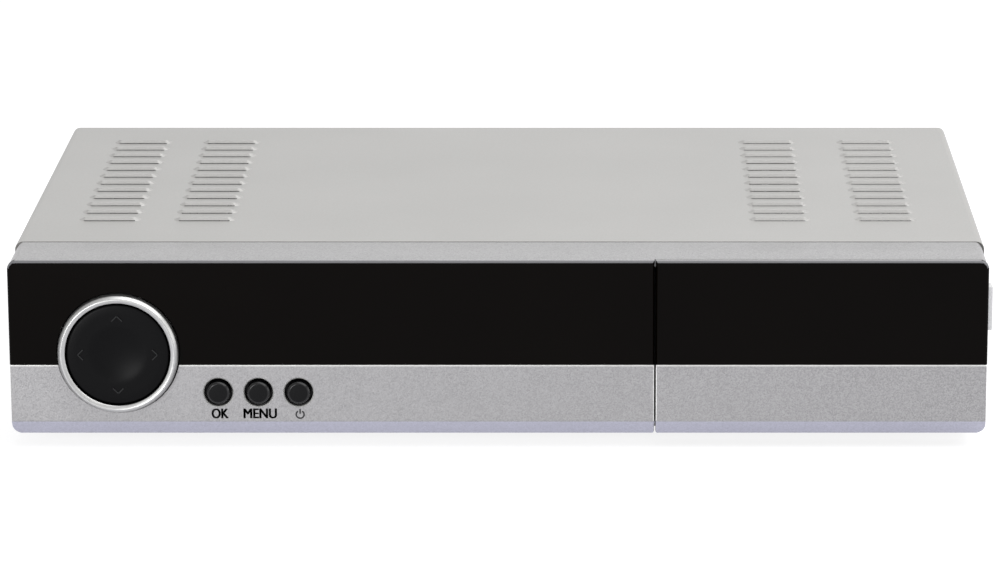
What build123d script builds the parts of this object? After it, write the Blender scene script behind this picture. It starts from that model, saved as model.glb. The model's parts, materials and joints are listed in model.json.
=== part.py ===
from build123d import *
from math import cos, hypot, radians, sin
import os

# Satellite television receiver in millimetres.
# +X is to the right as the front is seen, +Y goes to the back and +Z is up.
# The origin is on the table, under the middle of the whole receiver.

# ---------------------------------------------------------------- case
panel_width = 260.0             # moulded front, side to side
panel_height = 48.1             # moulded front, lower edge to top face
band_depth = 22.0               # how far the moulded front reaches back
case_depth = 168.5              # silver face to the back of the cover
foot_height = 4.0               # clear height under the case

moulding_wall = 2.0             # sides, top band and floor of the moulded front
face_wall = 3.2                 # its front wall
chin_rise = 4.0                 # bevel along the lower front edge, up the face
chin_run = 3.0                  # and under the floor
top_corner = 2.4                # upper corners as the front is seen
bottom_corner = 2.8             # lower corners
seam_corner = 0.8               # lower corners on both sides of the seam

cover_sheet = 0.6
cover_step = 0.6                # cover stands out past the sides of the moulding
cover_bend = 2.2                # outer radius of its long bends
cover_gap = 0.4                 # joint between the moulding and the cover
chassis_sheet = 0.8
chassis_flange = 16.0           # height of the upturned sides of the base
sheet_gap = 0.1                 # between sheets that are screwed together
rear_lip = 9.0                  # cover's fold down over the rear panel
rear_flange = 9.0               # rear panel's folds, top and bottom
fold_radius = 0.6               # inside radius of the base's bends
corner_relief = 1.5             # cut at the rear panel's lower corners, clear of those bends

# ---------------------------------------------------------------- window and flap
window_base = 19.6              # lower edge of the black window above the lower edge of the panel
window_thickness = 1.6
window_setback = 0.35           # window face behind the silver face
window_bevel = 0.45
window_overhang = 0.2           # window past the sides of the moulding

flap_width = 88.13              # right edge to the seam
seam_gap = 0.4
flap_skin = 1.2                 # flap behind its window
flap_return = 7.5               # depth of the flap's end wall
flap_end_wall = 1.8
flap_gap = 0.3                  # running gap round the flap
pivot_depth = 6.0               # hinge line behind the silver face
pivot_height = 3.2              # and above the lower edge
hinge_pin_radius = 1.2
hinge_gap = 0.15
hinge_ear_radius = 2.2
hinge_ear_thickness = 1.8
bracket_drop = 1.1              # lower face of the hinge bracket's arm, clear of the open flap
hinge_inset = 6.5               # right-hand hinge from the right side
lug_proud = 1.5                 # finger lug on the flap's end wall
lug_depth = 4.6
lug_base = 28.5
lug_height = 11.8

bay_depth = 12.0                # face of the wall behind the flap
bay_wall = 1.8
bay_floor_gap = 0.8             # floor stays this far behind the sweep of the flap

# ---------------------------------------------------------------- navigation pad
nav_inset = 28.85               # middle of the pad from the left side
nav_height = 22.95              # and above the lower edge
ring_outer = 16.05
ring_inner = 14.0
ring_proud = 2.4
crown_shoulders = (0.5, 0.55)   # rounded crown of the ring, in from its inner and outer sides
crown_drops = (0.68, 0.25, 1.08)
ring_gap = 0.4                  # ring in its hole in the front
ring_flange = 2.5               # flange outside the ring, behind the front wall
ring_flange_thickness = 2.0
ring_shelf = 1.55               # shelf inside the ring that carries the gimbal
stake_radius = 0.9              # moulded stakes that hold the ring
stake_gap = 0.1
stake_head = 0.6                # stakes past the ring's flange
stake_count = 3
pad_gap = 0.35                  # pad in the ring
pad_proud = 1.75                # pad's face in front of the silver face
pad_thickness = 3.95
pad_edge = 0.5
dimple_radius = 7.4
dimple_depth = 1.0
arrow_radius = 10.0             # middle of each raised arrow from the middle of the pad
arrow_arm = 1.5
arrow_line = 0.42
arrow_corner = 0.6              # thickness of the arrow at its point
arrow_proud = 0.22
gimbal_gap = 0.4                # gimbal ring in the shelf
gimbal_width = 1.2
gimbal_play = 0.3               # ears of the pad in the gimbal ring
gimbal_thickness = 1.8
gimbal_pin = 0.5
pin_reach = 0.9                 # gimbal pins into what carries them
pin_root = 0.2                  # and into the ring they grow from
pin_play = 0.15
ear_thickness = 1.1
ear_width = 3.2
key_offset = 8.0                # middle of the pad to each of its four switches
pusher_radius = 1.2
pusher_gap = 0.1

# ---------------------------------------------------------------- push buttons
button_inset = 55.28            # first button from the left side
button_pitch = 10.71
button_height = 12.07           # above the lower edge
button_hole = 3.85
button_gap = 0.8
button_face = 2.5               # radius of the flat face
button_proud = 0.9
button_bevel = 0.45
button_flange = 4.7
button_flange_thickness = 1.0
button_flange_gap = 0.3
button_stem = 1.6
hole_bevel = 0.3

# ---------------------------------------------------------------- circuit boards
board_thickness = 1.6
front_board_depth = 11.0        # face of the front board behind the silver face
front_board_margin = 1.5        # front board inside the moulding
switch_body = 6.0
switch_height = 3.5
plunger_radius = 1.7
plunger_gap = 0.15
plunger_tip = 4.3               # tip of the plunger above its board
display_width = 40.0
display_height = 12.8
display_depth = 7.0
display_inset = 110.0           # middle of the display from the left side
display_level = 33.5            # middle of the display above the lower edge
opening_gap = 0.6               # openings in the front wall round what sits in them
display_bevel = 0.4
receiver_inset = 146.0
receiver_size = (6.0, 5.0, 7.0)
receiver_lens = 2.2
receiver_hole = 3.0
lamp_inset = 74.0
lamp_radius = 1.5
lamp_rim = (0.35, 1.0)          # rim round the lamp's foot: how far out and how thick
lamp_lift = 2.4                 # lamp's foot in front of its board
lamp_wire = 0.3
lamp_wire_pitch = 2.54
plunger_well = 1.0              # floor of a switch's well in front of the board
plunger_travel = 0.3
boss_radius = 2.6
boss_edge = 0.4                 # bosses in from the edge of the front board
middle_boss_inset = 86.3        # middle pair of bosses from the left side

standoff_height = 6.0
standoff_radius = 3.0
board_edge_gap = 6.0            # boards from the sides of the case
board_space = 14.0              # between the two boards
main_board_front = 15.0         # behind the silver face
board_back_gap = 1.5            # boards from the rear panel
power_board_width = 62.0
power_board_length = 104.0
hole_inset = 5.0                # screw holes from the edges of a board
main_hole_front = 19.0          # main board's rows of holes from its front edge
main_hole_back = 42.0           # and from its back edge, clear of the sockets
power_hole_back = 21.0

# ---------------------------------------------------------------- fasteners
cover_screw_radius = 1.45
cover_screw_head = 2.9
cover_screw_head_height = 1.8
cover_screw_length = 5.0
board_screw_radius = 1.25
board_screw_head = 2.6
board_screw_head_height = 1.6
board_screw_length = 5.6
screw_hole_gap = 0.2
head_rounding = 0.45            # rounding of a head for its height
slot_width = 0.8                # cross recess in every head
slot_share = 1.2                # its length for the head's radius
slot_depth = 0.7

# ---------------------------------------------------------------- worked-out places
left_edge = -panel_width / 2
right_edge = panel_width / 2
connector_reach = 11.0          # F connectors past the rear panel
rear_setback = cover_sheet + sheet_gap
front_y = (ring_proud - case_depth + rear_setback - connector_reach) / 2
cover_back_y = front_y + case_depth
rear_y = cover_back_y - rear_setback        # outer face of the rear panel
rear_inner_y = rear_y - chassis_sheet
floor_z = foot_height
top_z = floor_z + panel_height
middle_z = floor_z + panel_height / 2
ceiling_z = top_z - moulding_wall
deck_z = floor_z + chassis_sheet            # top of the base sheet
face_back_y = front_y + face_wall
band_back_y = front_y + band_depth
window_front_y = front_y + window_setback
window_back_y = window_front_y + window_thickness
window_base_z = floor_z + window_base
seam_left = right_edge - flap_width - seam_gap
seam_right = right_edge - flap_width
flap_top_z = ceiling_z - flap_gap
flap_back_y = window_back_y + flap_skin
pivot_y = front_y + pivot_depth
pivot_z = floor_z + pivot_height
bay_y = front_y + bay_depth
bay_floor_y = pivot_y + pivot_height + bay_floor_gap
nav_x = left_edge + nav_inset
nav_z = floor_z + nav_height
front_board_y = front_y + front_board_depth
front_board_back_y = front_board_y + board_thickness
plunger_y = front_board_y - plunger_tip
switch_front_y = front_board_y - switch_height
well_floor_y = front_board_y - plunger_well
board_z = deck_z + standoff_height
board_top_z = board_z + board_thickness
cover_side_x = right_edge + cover_step
cover_front_y = band_back_y + cover_gap
chassis_side_x = cover_side_x - cover_sheet - sheet_gap
board_back_y = rear_inner_y - board_back_gap
power_left = left_edge + board_edge_gap
power_right = power_left + power_board_width
power_front_y = board_back_y - power_board_length
main_right = right_edge - board_edge_gap
main_left = power_right + board_space
main_front_y = front_y + main_board_front

os.makedirs("parts", exist_ok=True)


def facing_front(y):
    """Sketch plane at depth y in which sketch x is X and sketch y is Z."""
    return Plane.XZ.offset(-y)


def block(x_range, y_range, z_range, mode=Mode.ADD):
    """A box between two values on each axis."""
    ranges = (x_range, y_range, z_range)
    with Locations(tuple((low + high) / 2 for low, high in ranges)):
        Box(*[high - low for low, high in ranges], mode=mode)


def around(middle, size):
    """The range of a given size about a middle value."""
    return (middle - size / 2, middle + size / 2)


def rod_x(x_range, y, z, radius, mode=Mode.ADD):
    """A round bar along X."""
    with Locations(((x_range[0] + x_range[1]) / 2, y, z)):
        Cylinder(radius, x_range[1] - x_range[0], rotation=(0, 90, 0), mode=mode)


def rod_y(x, y_range, z, radius, mode=Mode.ADD):
    """A round bar along Y."""
    with Locations((x, (y_range[0] + y_range[1]) / 2, z)):
        Cylinder(radius, y_range[1] - y_range[0], rotation=(90, 0, 0), mode=mode)


def rod_z(x, y, z_range, radius, mode=Mode.ADD):
    """A round bar along Z."""
    with Locations((x, y, (z_range[0] + z_range[1]) / 2)):
        Cylinder(radius, z_range[1] - z_range[0], mode=mode)


def save(sub_part, name):
    """Label a finished piece and write its file."""
    sub_part.label = name
    export_step(sub_part, f"parts/{name}.step")


def screw(place, radius, length, head_radius, head_height):
    """A pan-head screw whose head sits on `place` and whose shank runs along its -Z."""
    with BuildPart() as body:
        with BuildSketch(Plane.XY):
            Circle(head_radius)
        extrude(amount=head_height)
        fillet(body.faces().sort_by(Axis.Z)[-1].edges(), head_height * head_rounding)
        with BuildSketch(Plane.XY.offset(head_height)):
            Rectangle(head_radius * slot_share, slot_width)
            Rectangle(slot_width, head_radius * slot_share)
        extrude(amount=-slot_depth, mode=Mode.SUBTRACT)
        with BuildSketch(Plane.XY):
            Circle(radius)
        extrude(amount=-length)
    return place * body.part


def cover_screw(origin, outward):
    """A case screw at a point on a sheet, with the direction its head faces."""
    place = Plane(origin, z_dir=outward).location
    return screw(place, cover_screw_radius, cover_screw_length, cover_screw_head, cover_screw_head_height)


def board_screw(origin, outward):
    """A board screw at a point on a board, with the direction its head faces."""
    place = Plane(origin, z_dir=outward).location
    return screw(place, board_screw_radius, board_screw_length, board_screw_head, board_screw_head_height)


# ---------------------------------------------------------------- places shared by several pieces
buttons = {
    "ok": left_edge + button_inset,
    "menu": left_edge + button_inset + button_pitch,
    "power": left_edge + button_inset + 2 * button_pitch,
}
button_z = floor_z + button_height
nav_keys = {
    "up": (nav_x, nav_z + key_offset),
    "down": (nav_x, nav_z - key_offset),
    "left": (nav_x - key_offset, nav_z),
    "right": (nav_x + key_offset, nav_z),
}
display_x = left_edge + display_inset
display_z = floor_z + display_level
receiver_x = left_edge + receiver_inset
lamp_x = left_edge + lamp_inset

front_board_left = left_edge + moulding_wall + front_board_margin
front_board_right = seam_left - moulding_wall - front_board_margin
front_board_low = floor_z + moulding_wall + front_board_margin
front_board_high = ceiling_z - front_board_margin
boss_margin = boss_radius + boss_edge
front_boss_rows = (front_board_low + boss_margin, front_board_high - boss_margin)
front_boss_columns = (
    front_board_left + boss_margin,
    left_edge + middle_boss_inset,
    front_board_right - boss_margin,
)
front_bosses = [(x, z) for x in front_boss_columns for z in front_boss_rows]

tab_width = 12.0                # tabs of the moulding that lie on the base sheet
tab_reach = 10.0
tab_thickness = 2.4
tab_inset = 40.0
tab_places = [left_edge + tab_inset, 0.0, right_edge - tab_inset]
tab_screw_y = band_back_y + cover_gap + tab_reach / 2

card_width = 56.0               # mouth for a smart card
card_mouth = 3.0
card_level = 3.4                # card above the main board
card_z = board_top_z + card_level
reader_size = (62.0, 58.0, 7.0)
reader_gap = 0.9                # card reader and USB socket behind the bay wall
reader_space = 0.38             # between the card reader and the USB socket
usb_inset = 15.5
usb_x = right_edge - usb_inset
usb_mouth_width = 13.6
usb_mouth_height = 6.2
usb_body_width = 14.5
usb_body_height = 7.0
usb_body_depth = 14.0
usb_shell = 0.6                 # wall of the USB socket
usb_tongue_setback = 1.0
usb_tongue = (0.5, 2.2)         # lower and upper face above the middle of the mouth
usb_level = usb_body_height / 2
usb_z = board_top_z + usb_level
card_x = usb_x - usb_body_width / 2 - reader_space - reader_size[0] / 2

hinge_right_x = right_edge - hinge_inset


# ---------------------------------------------------------------- moulded front
ring_hole = ring_outer + ring_gap
flange_radius = ring_outer + ring_flange
stake_circle = (ring_hole + flange_radius) / 2
stakes = PolarLocations(stake_circle, stake_count, start_angle=90).local_locations
stake_places = [(nav_x + stake.position.X, nav_z + stake.position.Y) for stake in stakes]
stake_length = ring_flange_thickness + stake_head

with BuildPart() as front_panel:
    # outer shape
    with BuildSketch(facing_front(front_y)) as panel_outline:
        with Locations((0, middle_z)):
            Rectangle(panel_width, panel_height)
        fillet(panel_outline.vertices().group_by(Axis.Y)[-1], top_corner)
        fillet(panel_outline.vertices().group_by(Axis.Y)[0], bottom_corner)
    extrude(amount=-band_depth)
    # bevel along the lower front edge
    with BuildSketch(Plane.YZ.offset(left_edge)):
        with BuildLine():
            Polyline(
                (front_y, floor_z),
                (front_y + chin_run, floor_z),
                (front_y, floor_z + chin_rise),
                close=True,
            )
        make_face()
    extrude(amount=panel_width, mode=Mode.SUBTRACT)
    # hollow behind the face
    block(
        (left_edge + moulding_wall, right_edge - moulding_wall),
        (face_back_y, band_back_y),
        (floor_z + moulding_wall, ceiling_z),
        mode=Mode.SUBTRACT,
    )
    # seat of the fixed window
    block(
        (left_edge, seam_left),
        (front_y, window_back_y),
        (window_base_z, top_z),
        mode=Mode.SUBTRACT,
    )
    # room for the flap: face, end and the sweep of its lower edge
    block(
        (seam_left, right_edge),
        (front_y, front_y + flap_return + flap_gap),
        (floor_z, ceiling_z),
        mode=Mode.SUBTRACT,
    )
    block(
        (seam_left, right_edge),
        (front_y, window_back_y + flap_gap),
        (ceiling_z, top_z),
        mode=Mode.SUBTRACT,
    )
    block(
        (seam_left, right_edge),
        (front_y, bay_floor_y),
        (floor_z, pivot_z),
        mode=Mode.SUBTRACT,
    )
    # walls of the bay behind the flap
    block((seam_left - moulding_wall, seam_left), (face_back_y, bay_y), (floor_z, ceiling_z))
    block(
        (seam_left - moulding_wall, right_edge - moulding_wall),
        (bay_y, bay_y + bay_wall),
        (floor_z + moulding_wall, ceiling_z),
    )
    # rounded lower corner beside the seam
    with BuildSketch(facing_front(front_y)):
        with Locations((seam_left - seam_corner / 2, floor_z + seam_corner / 2)):
            Rectangle(seam_corner, seam_corner)
        with Locations((seam_left - seam_corner, floor_z + seam_corner)):
            Circle(seam_corner, mode=Mode.SUBTRACT)
    extrude(amount=-band_depth, mode=Mode.SUBTRACT)
    # mouths for a card and a plug
    block(
        around(card_x, card_width),
        (bay_y, bay_y + bay_wall),
        around(card_z, card_mouth),
        mode=Mode.SUBTRACT,
    )
    block(
        around(usb_x, usb_mouth_width),
        (bay_y, bay_y + bay_wall),
        around(usb_z, usb_mouth_height),
        mode=Mode.SUBTRACT,
    )
    # right-hand hinge bracket and both pin holes
    bracket = (hinge_right_x, hinge_right_x + hinge_ear_thickness)
    block(bracket, (pivot_y, bay_y), (pivot_z - bracket_drop, pivot_z + hinge_ear_radius))
    rod_x(bracket, pivot_y, pivot_z, hinge_ear_radius)
    rod_x(bracket, pivot_y, pivot_z, hinge_pin_radius + hinge_gap, mode=Mode.SUBTRACT)
    cheek = (seam_left - moulding_wall, seam_left)
    rod_x(cheek, pivot_y, pivot_z, hinge_pin_radius + hinge_gap, mode=Mode.SUBTRACT)
    # holes for the ring and the push buttons
    rod_y(nav_x, (front_y, face_back_y), nav_z, ring_hole, mode=Mode.SUBTRACT)
    for button_x in buttons.values():
        rod_y(button_x, (front_y, face_back_y), button_z, button_hole, mode=Mode.SUBTRACT)
        with Locations((button_x, front_y + hole_bevel / 2, button_z)):
            Cone(button_hole, button_hole + hole_bevel, hole_bevel, rotation=(90, 0, 0), mode=Mode.SUBTRACT)
    # openings behind the window for the display, the infrared receiver and the standby lamp
    block(
        around(display_x, display_width + 2 * opening_gap),
        (window_back_y, face_back_y),
        around(display_z, display_height + 2 * opening_gap),
        mode=Mode.SUBTRACT,
    )
    rod_y(receiver_x, (window_back_y, face_back_y), display_z, receiver_hole, mode=Mode.SUBTRACT)
    rod_y(lamp_x, (window_back_y, face_back_y), display_z, lamp_radius + opening_gap, mode=Mode.SUBTRACT)
    # bosses for the front board
    for boss_x, boss_z in front_bosses:
        rod_y(boss_x, (face_back_y, front_board_y), boss_z, boss_radius)
        rod_y(boss_x, (face_back_y, front_board_y), boss_z, board_screw_radius, mode=Mode.SUBTRACT)
    # stakes that hold the ring
    for stake_x, stake_z in stake_places:
        rod_y(stake_x, (face_back_y, face_back_y + stake_length), stake_z, stake_radius)
    # tabs that the base is screwed to
    for tab_x in tab_places:
        block(
            around(tab_x, tab_width),
            (band_back_y - moulding_wall, tab_screw_y + tab_reach / 2),
            (deck_z, deck_z + tab_thickness),
        )
        rod_z(
            tab_x, tab_screw_y, (deck_z, deck_z + tab_thickness), cover_screw_radius, mode=Mode.SUBTRACT
        )
save(front_panel.part, "front_panel")


# ---------------------------------------------------------------- fixed window
with BuildPart() as display_window:
    with BuildSketch(facing_front(window_front_y)) as window_outline:
        with BuildLine():
            Polyline(
                (left_edge - window_overhang, window_base_z),
                (seam_left, window_base_z),
                (seam_left, top_z),
                (left_edge - window_overhang, top_z),
                close=True,
            )
        make_face()
        fillet(window_outline.vertices().sort_by(Axis.X)[:2].sort_by(Axis.Y)[-1], top_corner)
    extrude(amount=-window_thickness)
    window_rim = display_window.faces().sort_by(Axis.Y)[0].edges()
    chamfer(window_rim.sort_by(Axis.Z)[1:], window_bevel)
    rod_y(nav_x, (window_front_y, window_back_y), nav_z, ring_hole, mode=Mode.SUBTRACT)
save(display_window.part, "display_window")


# ---------------------------------------------------------------- ring round the pad
nav_axis = Axis((nav_x, front_y, nav_z), (0, 1, 0))
shelf_front = face_wall + stake_gap
shelf_back = face_wall + ring_flange_thickness
shelf_inner = ring_inner - ring_shelf
gimbal_depth = (shelf_front + shelf_back) / 2
gimbal_y = front_y + gimbal_depth
gimbal_outer = shelf_inner - gimbal_gap
gimbal_inner = gimbal_outer - gimbal_width

with BuildPart() as nav_ring:
    with BuildSketch(Plane((nav_x, front_y, nav_z))):
        with BuildLine():
            crown = Spline(
                (ring_inner, -ring_proud + crown_drops[0]),
                (ring_inner + crown_shoulders[0], -ring_proud),
                (ring_outer - crown_shoulders[1], -ring_proud + crown_drops[1]),
                (ring_outer, -ring_proud + crown_drops[2]),
            )
            Polyline(
                crown @ 1,
                (ring_outer, face_wall),
                (flange_radius, face_wall),
                (flange_radius, shelf_back),
                (shelf_inner, shelf_back),
                (shelf_inner, shelf_front),
                (ring_inner, shelf_front),
                crown @ 0,
            )
        make_face()
    revolve(axis=nav_axis)
    for stake_x, stake_z in stake_places:
        rod_y(
            stake_x,
            (face_back_y, front_y + shelf_back),
            stake_z,
            stake_radius + stake_gap,
            mode=Mode.SUBTRACT,
        )
    # sockets for the gimbal's two pins
    socket = shelf_inner + pin_reach
    rod_x((nav_x - socket, nav_x + socket), gimbal_y, nav_z, gimbal_pin + pin_play, mode=Mode.SUBTRACT)
save(nav_ring.part, "nav_ring")


# ---------------------------------------------------------------- gimbal ring
with BuildPart() as nav_gimbal:
    with BuildSketch(Plane((nav_x, gimbal_y, nav_z))):
        with Locations(((gimbal_inner + gimbal_outer) / 2, 0)):
            Rectangle(gimbal_width, gimbal_thickness)
    revolve(axis=nav_axis)
    gimbal_pin_end = shelf_inner + pin_reach - pin_play
    for side in (-1, 1):
        pin_ends = sorted((nav_x + side * (gimbal_outer - pin_root), nav_x + side * gimbal_pin_end))
        rod_x(pin_ends, gimbal_y, nav_z, gimbal_pin)
    rod_z(
        nav_x,
        gimbal_y,
        (nav_z - gimbal_outer, nav_z + gimbal_outer),
        gimbal_pin + pin_play,
        mode=Mode.SUBTRACT,
    )
save(nav_gimbal.part, "nav_gimbal")


# ---------------------------------------------------------------- navigation pad
pad_radius = ring_inner - pad_gap
pad_front_y = front_y - pad_proud
pad_back_y = pad_front_y + pad_thickness
dimple_ball = (dimple_radius**2 + dimple_depth**2) / (2 * dimple_depth)
ear_outer = gimbal_inner - gimbal_play
ear_inner = ear_outer - ear_thickness

with BuildPart() as nav_pad:
    rod_y(nav_x, (pad_front_y, pad_back_y), nav_z, pad_radius)
    fillet(nav_pad.faces().sort_by(Axis.Y)[0].edges(), pad_edge)
    with Locations((nav_x, pad_front_y + dimple_depth - dimple_ball, nav_z)):
        Sphere(dimple_ball, mode=Mode.SUBTRACT)
    # raised arrows
    with BuildSketch(Plane((nav_x, pad_front_y, nav_z), x_dir=(1, 0, 0), z_dir=(0, -1, 0))):
        with PolarLocations(arrow_radius, 4):
            Polygon(
                (arrow_arm / 2, 0),
                (-arrow_arm / 2, arrow_arm),
                (-arrow_arm / 2 - arrow_line, arrow_arm),
                (arrow_arm / 2 - arrow_corner, 0),
                (-arrow_arm / 2 - arrow_line, -arrow_arm),
                (-arrow_arm / 2, -arrow_arm),
                align=None,
            )
    extrude(amount=arrow_proud)
    # pushers over the four switches
    for key_x, key_z in nav_keys.values():
        rod_y(key_x, (pad_back_y, plunger_y - pusher_gap), key_z, pusher_radius)
    # ears and pins that hang the pad in the gimbal ring
    for side in (-1, 1):
        ear_range = sorted((nav_z + side * ear_inner, nav_z + side * ear_outer))
        block(around(nav_x, ear_width), (pad_back_y, gimbal_y + gimbal_thickness / 2), ear_range)
        pin_range = sorted((nav_z + side * ear_inner, nav_z + side * (gimbal_outer - pin_play)))
        rod_z(nav_x, gimbal_y, pin_range, gimbal_pin)
save(nav_pad.part, "nav_pad")


# ---------------------------------------------------------------- push buttons
button_base = button_hole - button_gap
button_front_y = front_y - button_proud
flange_front_y = face_back_y + button_flange_gap
for name, button_x in buttons.items():
    with BuildPart() as push_button:
        rod_y(button_x, (button_front_y, flange_front_y), button_z, button_base)
        chamfer(
            push_button.faces().sort_by(Axis.Y)[0].edges(),
            length=button_bevel,
            length2=button_base - button_face,
        )
        flange_back_y = flange_front_y + button_flange_thickness
        rod_y(button_x, (flange_front_y, flange_back_y), button_z, button_flange)
        rod_y(button_x, (flange_back_y, plunger_y), button_z, button_stem)
    save(push_button.part, f"{name}_button")


# ---------------------------------------------------------------- flap and its window
flap_left = seam_right
lip = chin_run + flap_skin * hypot(chin_rise, chin_run) / chin_rise   # back of the bevel, at the floor
lip_top = (lip - (flap_back_y - front_y)) * chin_rise / chin_run      # where it meets the back of the skin
ear_top = pivot_z + hinge_ear_radius
left_ear = (flap_left + flap_gap, flap_left + flap_gap + hinge_ear_thickness)
right_ear = (
    hinge_right_x - flap_gap - hinge_ear_thickness,
    hinge_right_x - flap_gap,
)

with BuildPart() as door_flap:
    # skin: silver below, a thinner shelf behind the window above
    with BuildSketch(Plane.YZ.offset(flap_left)):
        with BuildLine():
            Polyline(
                (front_y, floor_z + chin_rise),
                (front_y, window_base_z),
                (window_back_y, window_base_z),
                (window_back_y, flap_top_z),
                (flap_back_y, flap_top_z),
                (flap_back_y, floor_z + lip_top),
                (front_y + lip, floor_z),
                (front_y + chin_run, floor_z),
                close=True,
            )
        make_face()
    extrude(amount=flap_width)
    # end wall
    block(
        (right_edge - flap_end_wall, right_edge),
        (window_back_y, front_y + flap_return),
        (pivot_z, flap_top_z),
    )
    # rounded lower corners
    with BuildSketch(facing_front(front_y)) as flap_outline:
        with Locations((flap_left + flap_width / 2, middle_z)):
            Rectangle(flap_width, panel_height)
        fillet(flap_outline.vertices().group_by(Axis.Y)[0].sort_by(Axis.X)[-1], bottom_corner)
        fillet(flap_outline.vertices().group_by(Axis.Y)[0].sort_by(Axis.X)[0], seam_corner)
    extrude(amount=-band_depth, mode=Mode.INTERSECT)
    # finger lug
    block(
        (right_edge, right_edge + lug_proud),
        (front_y + flap_return - lug_depth, front_y + flap_return),
        (floor_z + lug_base, floor_z + lug_base + lug_height),
    )
    # hinge ears and pins
    for ear in (left_ear, right_ear):
        block(ear, (front_y + lip, pivot_y), around(pivot_z, 2 * hinge_ear_radius))
        block(ear, (flap_back_y - flap_skin, pivot_y), (floor_z + lip_top, ear_top))
        rod_x(ear, pivot_y, pivot_z, hinge_ear_radius)
    rod_x((seam_left - moulding_wall + flap_gap, left_ear[0]), pivot_y, pivot_z, hinge_pin_radius)
    rod_x((right_ear[1], hinge_right_x + hinge_ear_thickness), pivot_y, pivot_z, hinge_pin_radius)
save(door_flap.part, "door_flap")

with BuildPart() as door_window:
    with BuildSketch(facing_front(window_front_y)) as door_window_outline:
        with BuildLine():
            Polyline(
                (seam_right, window_base_z),
                (right_edge + window_overhang, window_base_z),
                (right_edge + window_overhang, top_z),
                (seam_right, top_z),
                close=True,
            )
        make_face()
        fillet(door_window_outline.vertices().sort_by(Axis.X)[-2:].sort_by(Axis.Y)[-1], top_corner)
    extrude(amount=-window_thickness)
    door_window_rim = door_window.faces().sort_by(Axis.Y)[0].edges()
    chamfer(door_window_rim.sort_by(Axis.Z)[1:], window_bevel)
save(door_window.part, "door_window")


# ---------------------------------------------------------------- top cover
louvre_foot = (17.0, 4.2, 2.0)  # length, depth and corner radius at the sheet
louvre_top = (14.0, 1.5, 0.7)   # and at the crown
louvre_lean = 0.92              # crown in front of the middle of the foot
louvre_rise = 0.9
louvre_slit = 0.35
louvre_pitch = 9.03
louvre_rows = 12
louvre_start = 48.5             # first row behind the silver face
louvre_insets = (22.5, 48.5)    # middles of the banks from the left side
louvre_insets_right = (24.5, 53.5)
slot_count = 14                 # upright slots in the sides
slot_pitch = 6.0
slot_size = (2.4, 18.0)
slot_start = 64.0
side_screw_places = (38.0, 148.0)
side_screw_level = 9.5
rear_screw_inset = 12.0
rear_screw_xs = (left_edge + rear_screw_inset, 0.0, right_edge - rear_screw_inset)

louvre_xs = [left_edge + inset for inset in louvre_insets]
louvre_xs += [right_edge - inset for inset in louvre_insets_right]
louvre_places = [
    (x, front_y + louvre_start + row * louvre_pitch) for x in louvre_xs for row in range(louvre_rows)
]


def scoop(foot_z):
    """A low solid scoop at the origin with a steep front and a long back."""
    with BuildPart() as body:
        with BuildSketch(Plane.XY.offset(foot_z)):
            RectangleRounded(*louvre_foot)
        with BuildSketch(Plane.XY.offset(foot_z + louvre_rise)):
            with Locations((0, -louvre_lean)):
                RectangleRounded(*louvre_top)
        loft(ruled=True)
    return body.part


# outside of one louvre, and the room under it with the slit at its front
louvre_outside = scoop(top_z)
louvre_inside = scoop(top_z - cover_sheet)
with BuildPart() as louvre_room:
    add(louvre_inside)
    with BuildSketch(Plane.XY.offset(top_z - cover_sheet)):
        RectangleRounded(*louvre_foot)
    extrude(amount=-cover_sheet / 2)
    block(
        around(0, louvre_top[0]),
        (-louvre_foot[1] / 2, 0),
        (top_z - cover_sheet / 2, top_z + louvre_slit),
    )

with BuildPart() as top_cover:
    with BuildSketch(facing_front(cover_front_y)) as cover_section:
        with Locations((0, middle_z)):
            Rectangle(2 * cover_side_x, panel_height)
        fillet(cover_section.vertices().group_by(Axis.Y)[-1], cover_bend)
        with BuildSketch(facing_front(cover_front_y), mode=Mode.SUBTRACT) as cover_hollow:
            with Locations((0, middle_z - cover_sheet)):
                Rectangle(2 * (cover_side_x - cover_sheet), panel_height)
            fillet(cover_hollow.vertices().group_by(Axis.Y)[-1], cover_bend - cover_sheet)
    extrude(amount=-(cover_back_y - cover_front_y))
    # fold over the rear panel
    lip_half = cover_side_x - cover_bend
    block(
        (-lip_half, lip_half),
        (cover_back_y - cover_sheet, cover_back_y),
        (top_z - rear_lip, top_z - cover_sheet),
    )
    # louvres
    with Locations(*[(x, y, 0) for x, y in louvre_places]):
        add(louvre_outside)
    with Locations(*[(x, y, 0) for x, y in louvre_places]):
        add(louvre_room.part, mode=Mode.SUBTRACT)
    # slots in the sides
    slot_middle_y = front_y + slot_start + (slot_count - 1) * slot_pitch / 2
    with BuildSketch(Plane.YZ.offset(-cover_side_x)):
        with Locations((slot_middle_y, middle_z)):
            with GridLocations(slot_pitch, 0, slot_count, 1):
                SlotOverall(slot_size[1], slot_size[0], rotation=90)
    extrude(amount=2 * cover_side_x, mode=Mode.SUBTRACT)
    # screw holes in the sides and the rear fold
    for side_y in side_screw_places:
        rod_x(
            (-cover_side_x, cover_side_x),
            front_y + side_y,
            floor_z + side_screw_level,
            cover_screw_radius + screw_hole_gap,
            mode=Mode.SUBTRACT,
        )
    for screw_x in rear_screw_xs:
        rod_y(
            screw_x,
            (cover_back_y - cover_sheet, cover_back_y),
            top_z - rear_lip / 2,
            cover_screw_radius + screw_hole_gap,
            mode=Mode.SUBTRACT,
        )
save(top_cover.part, "top_cover")


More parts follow.
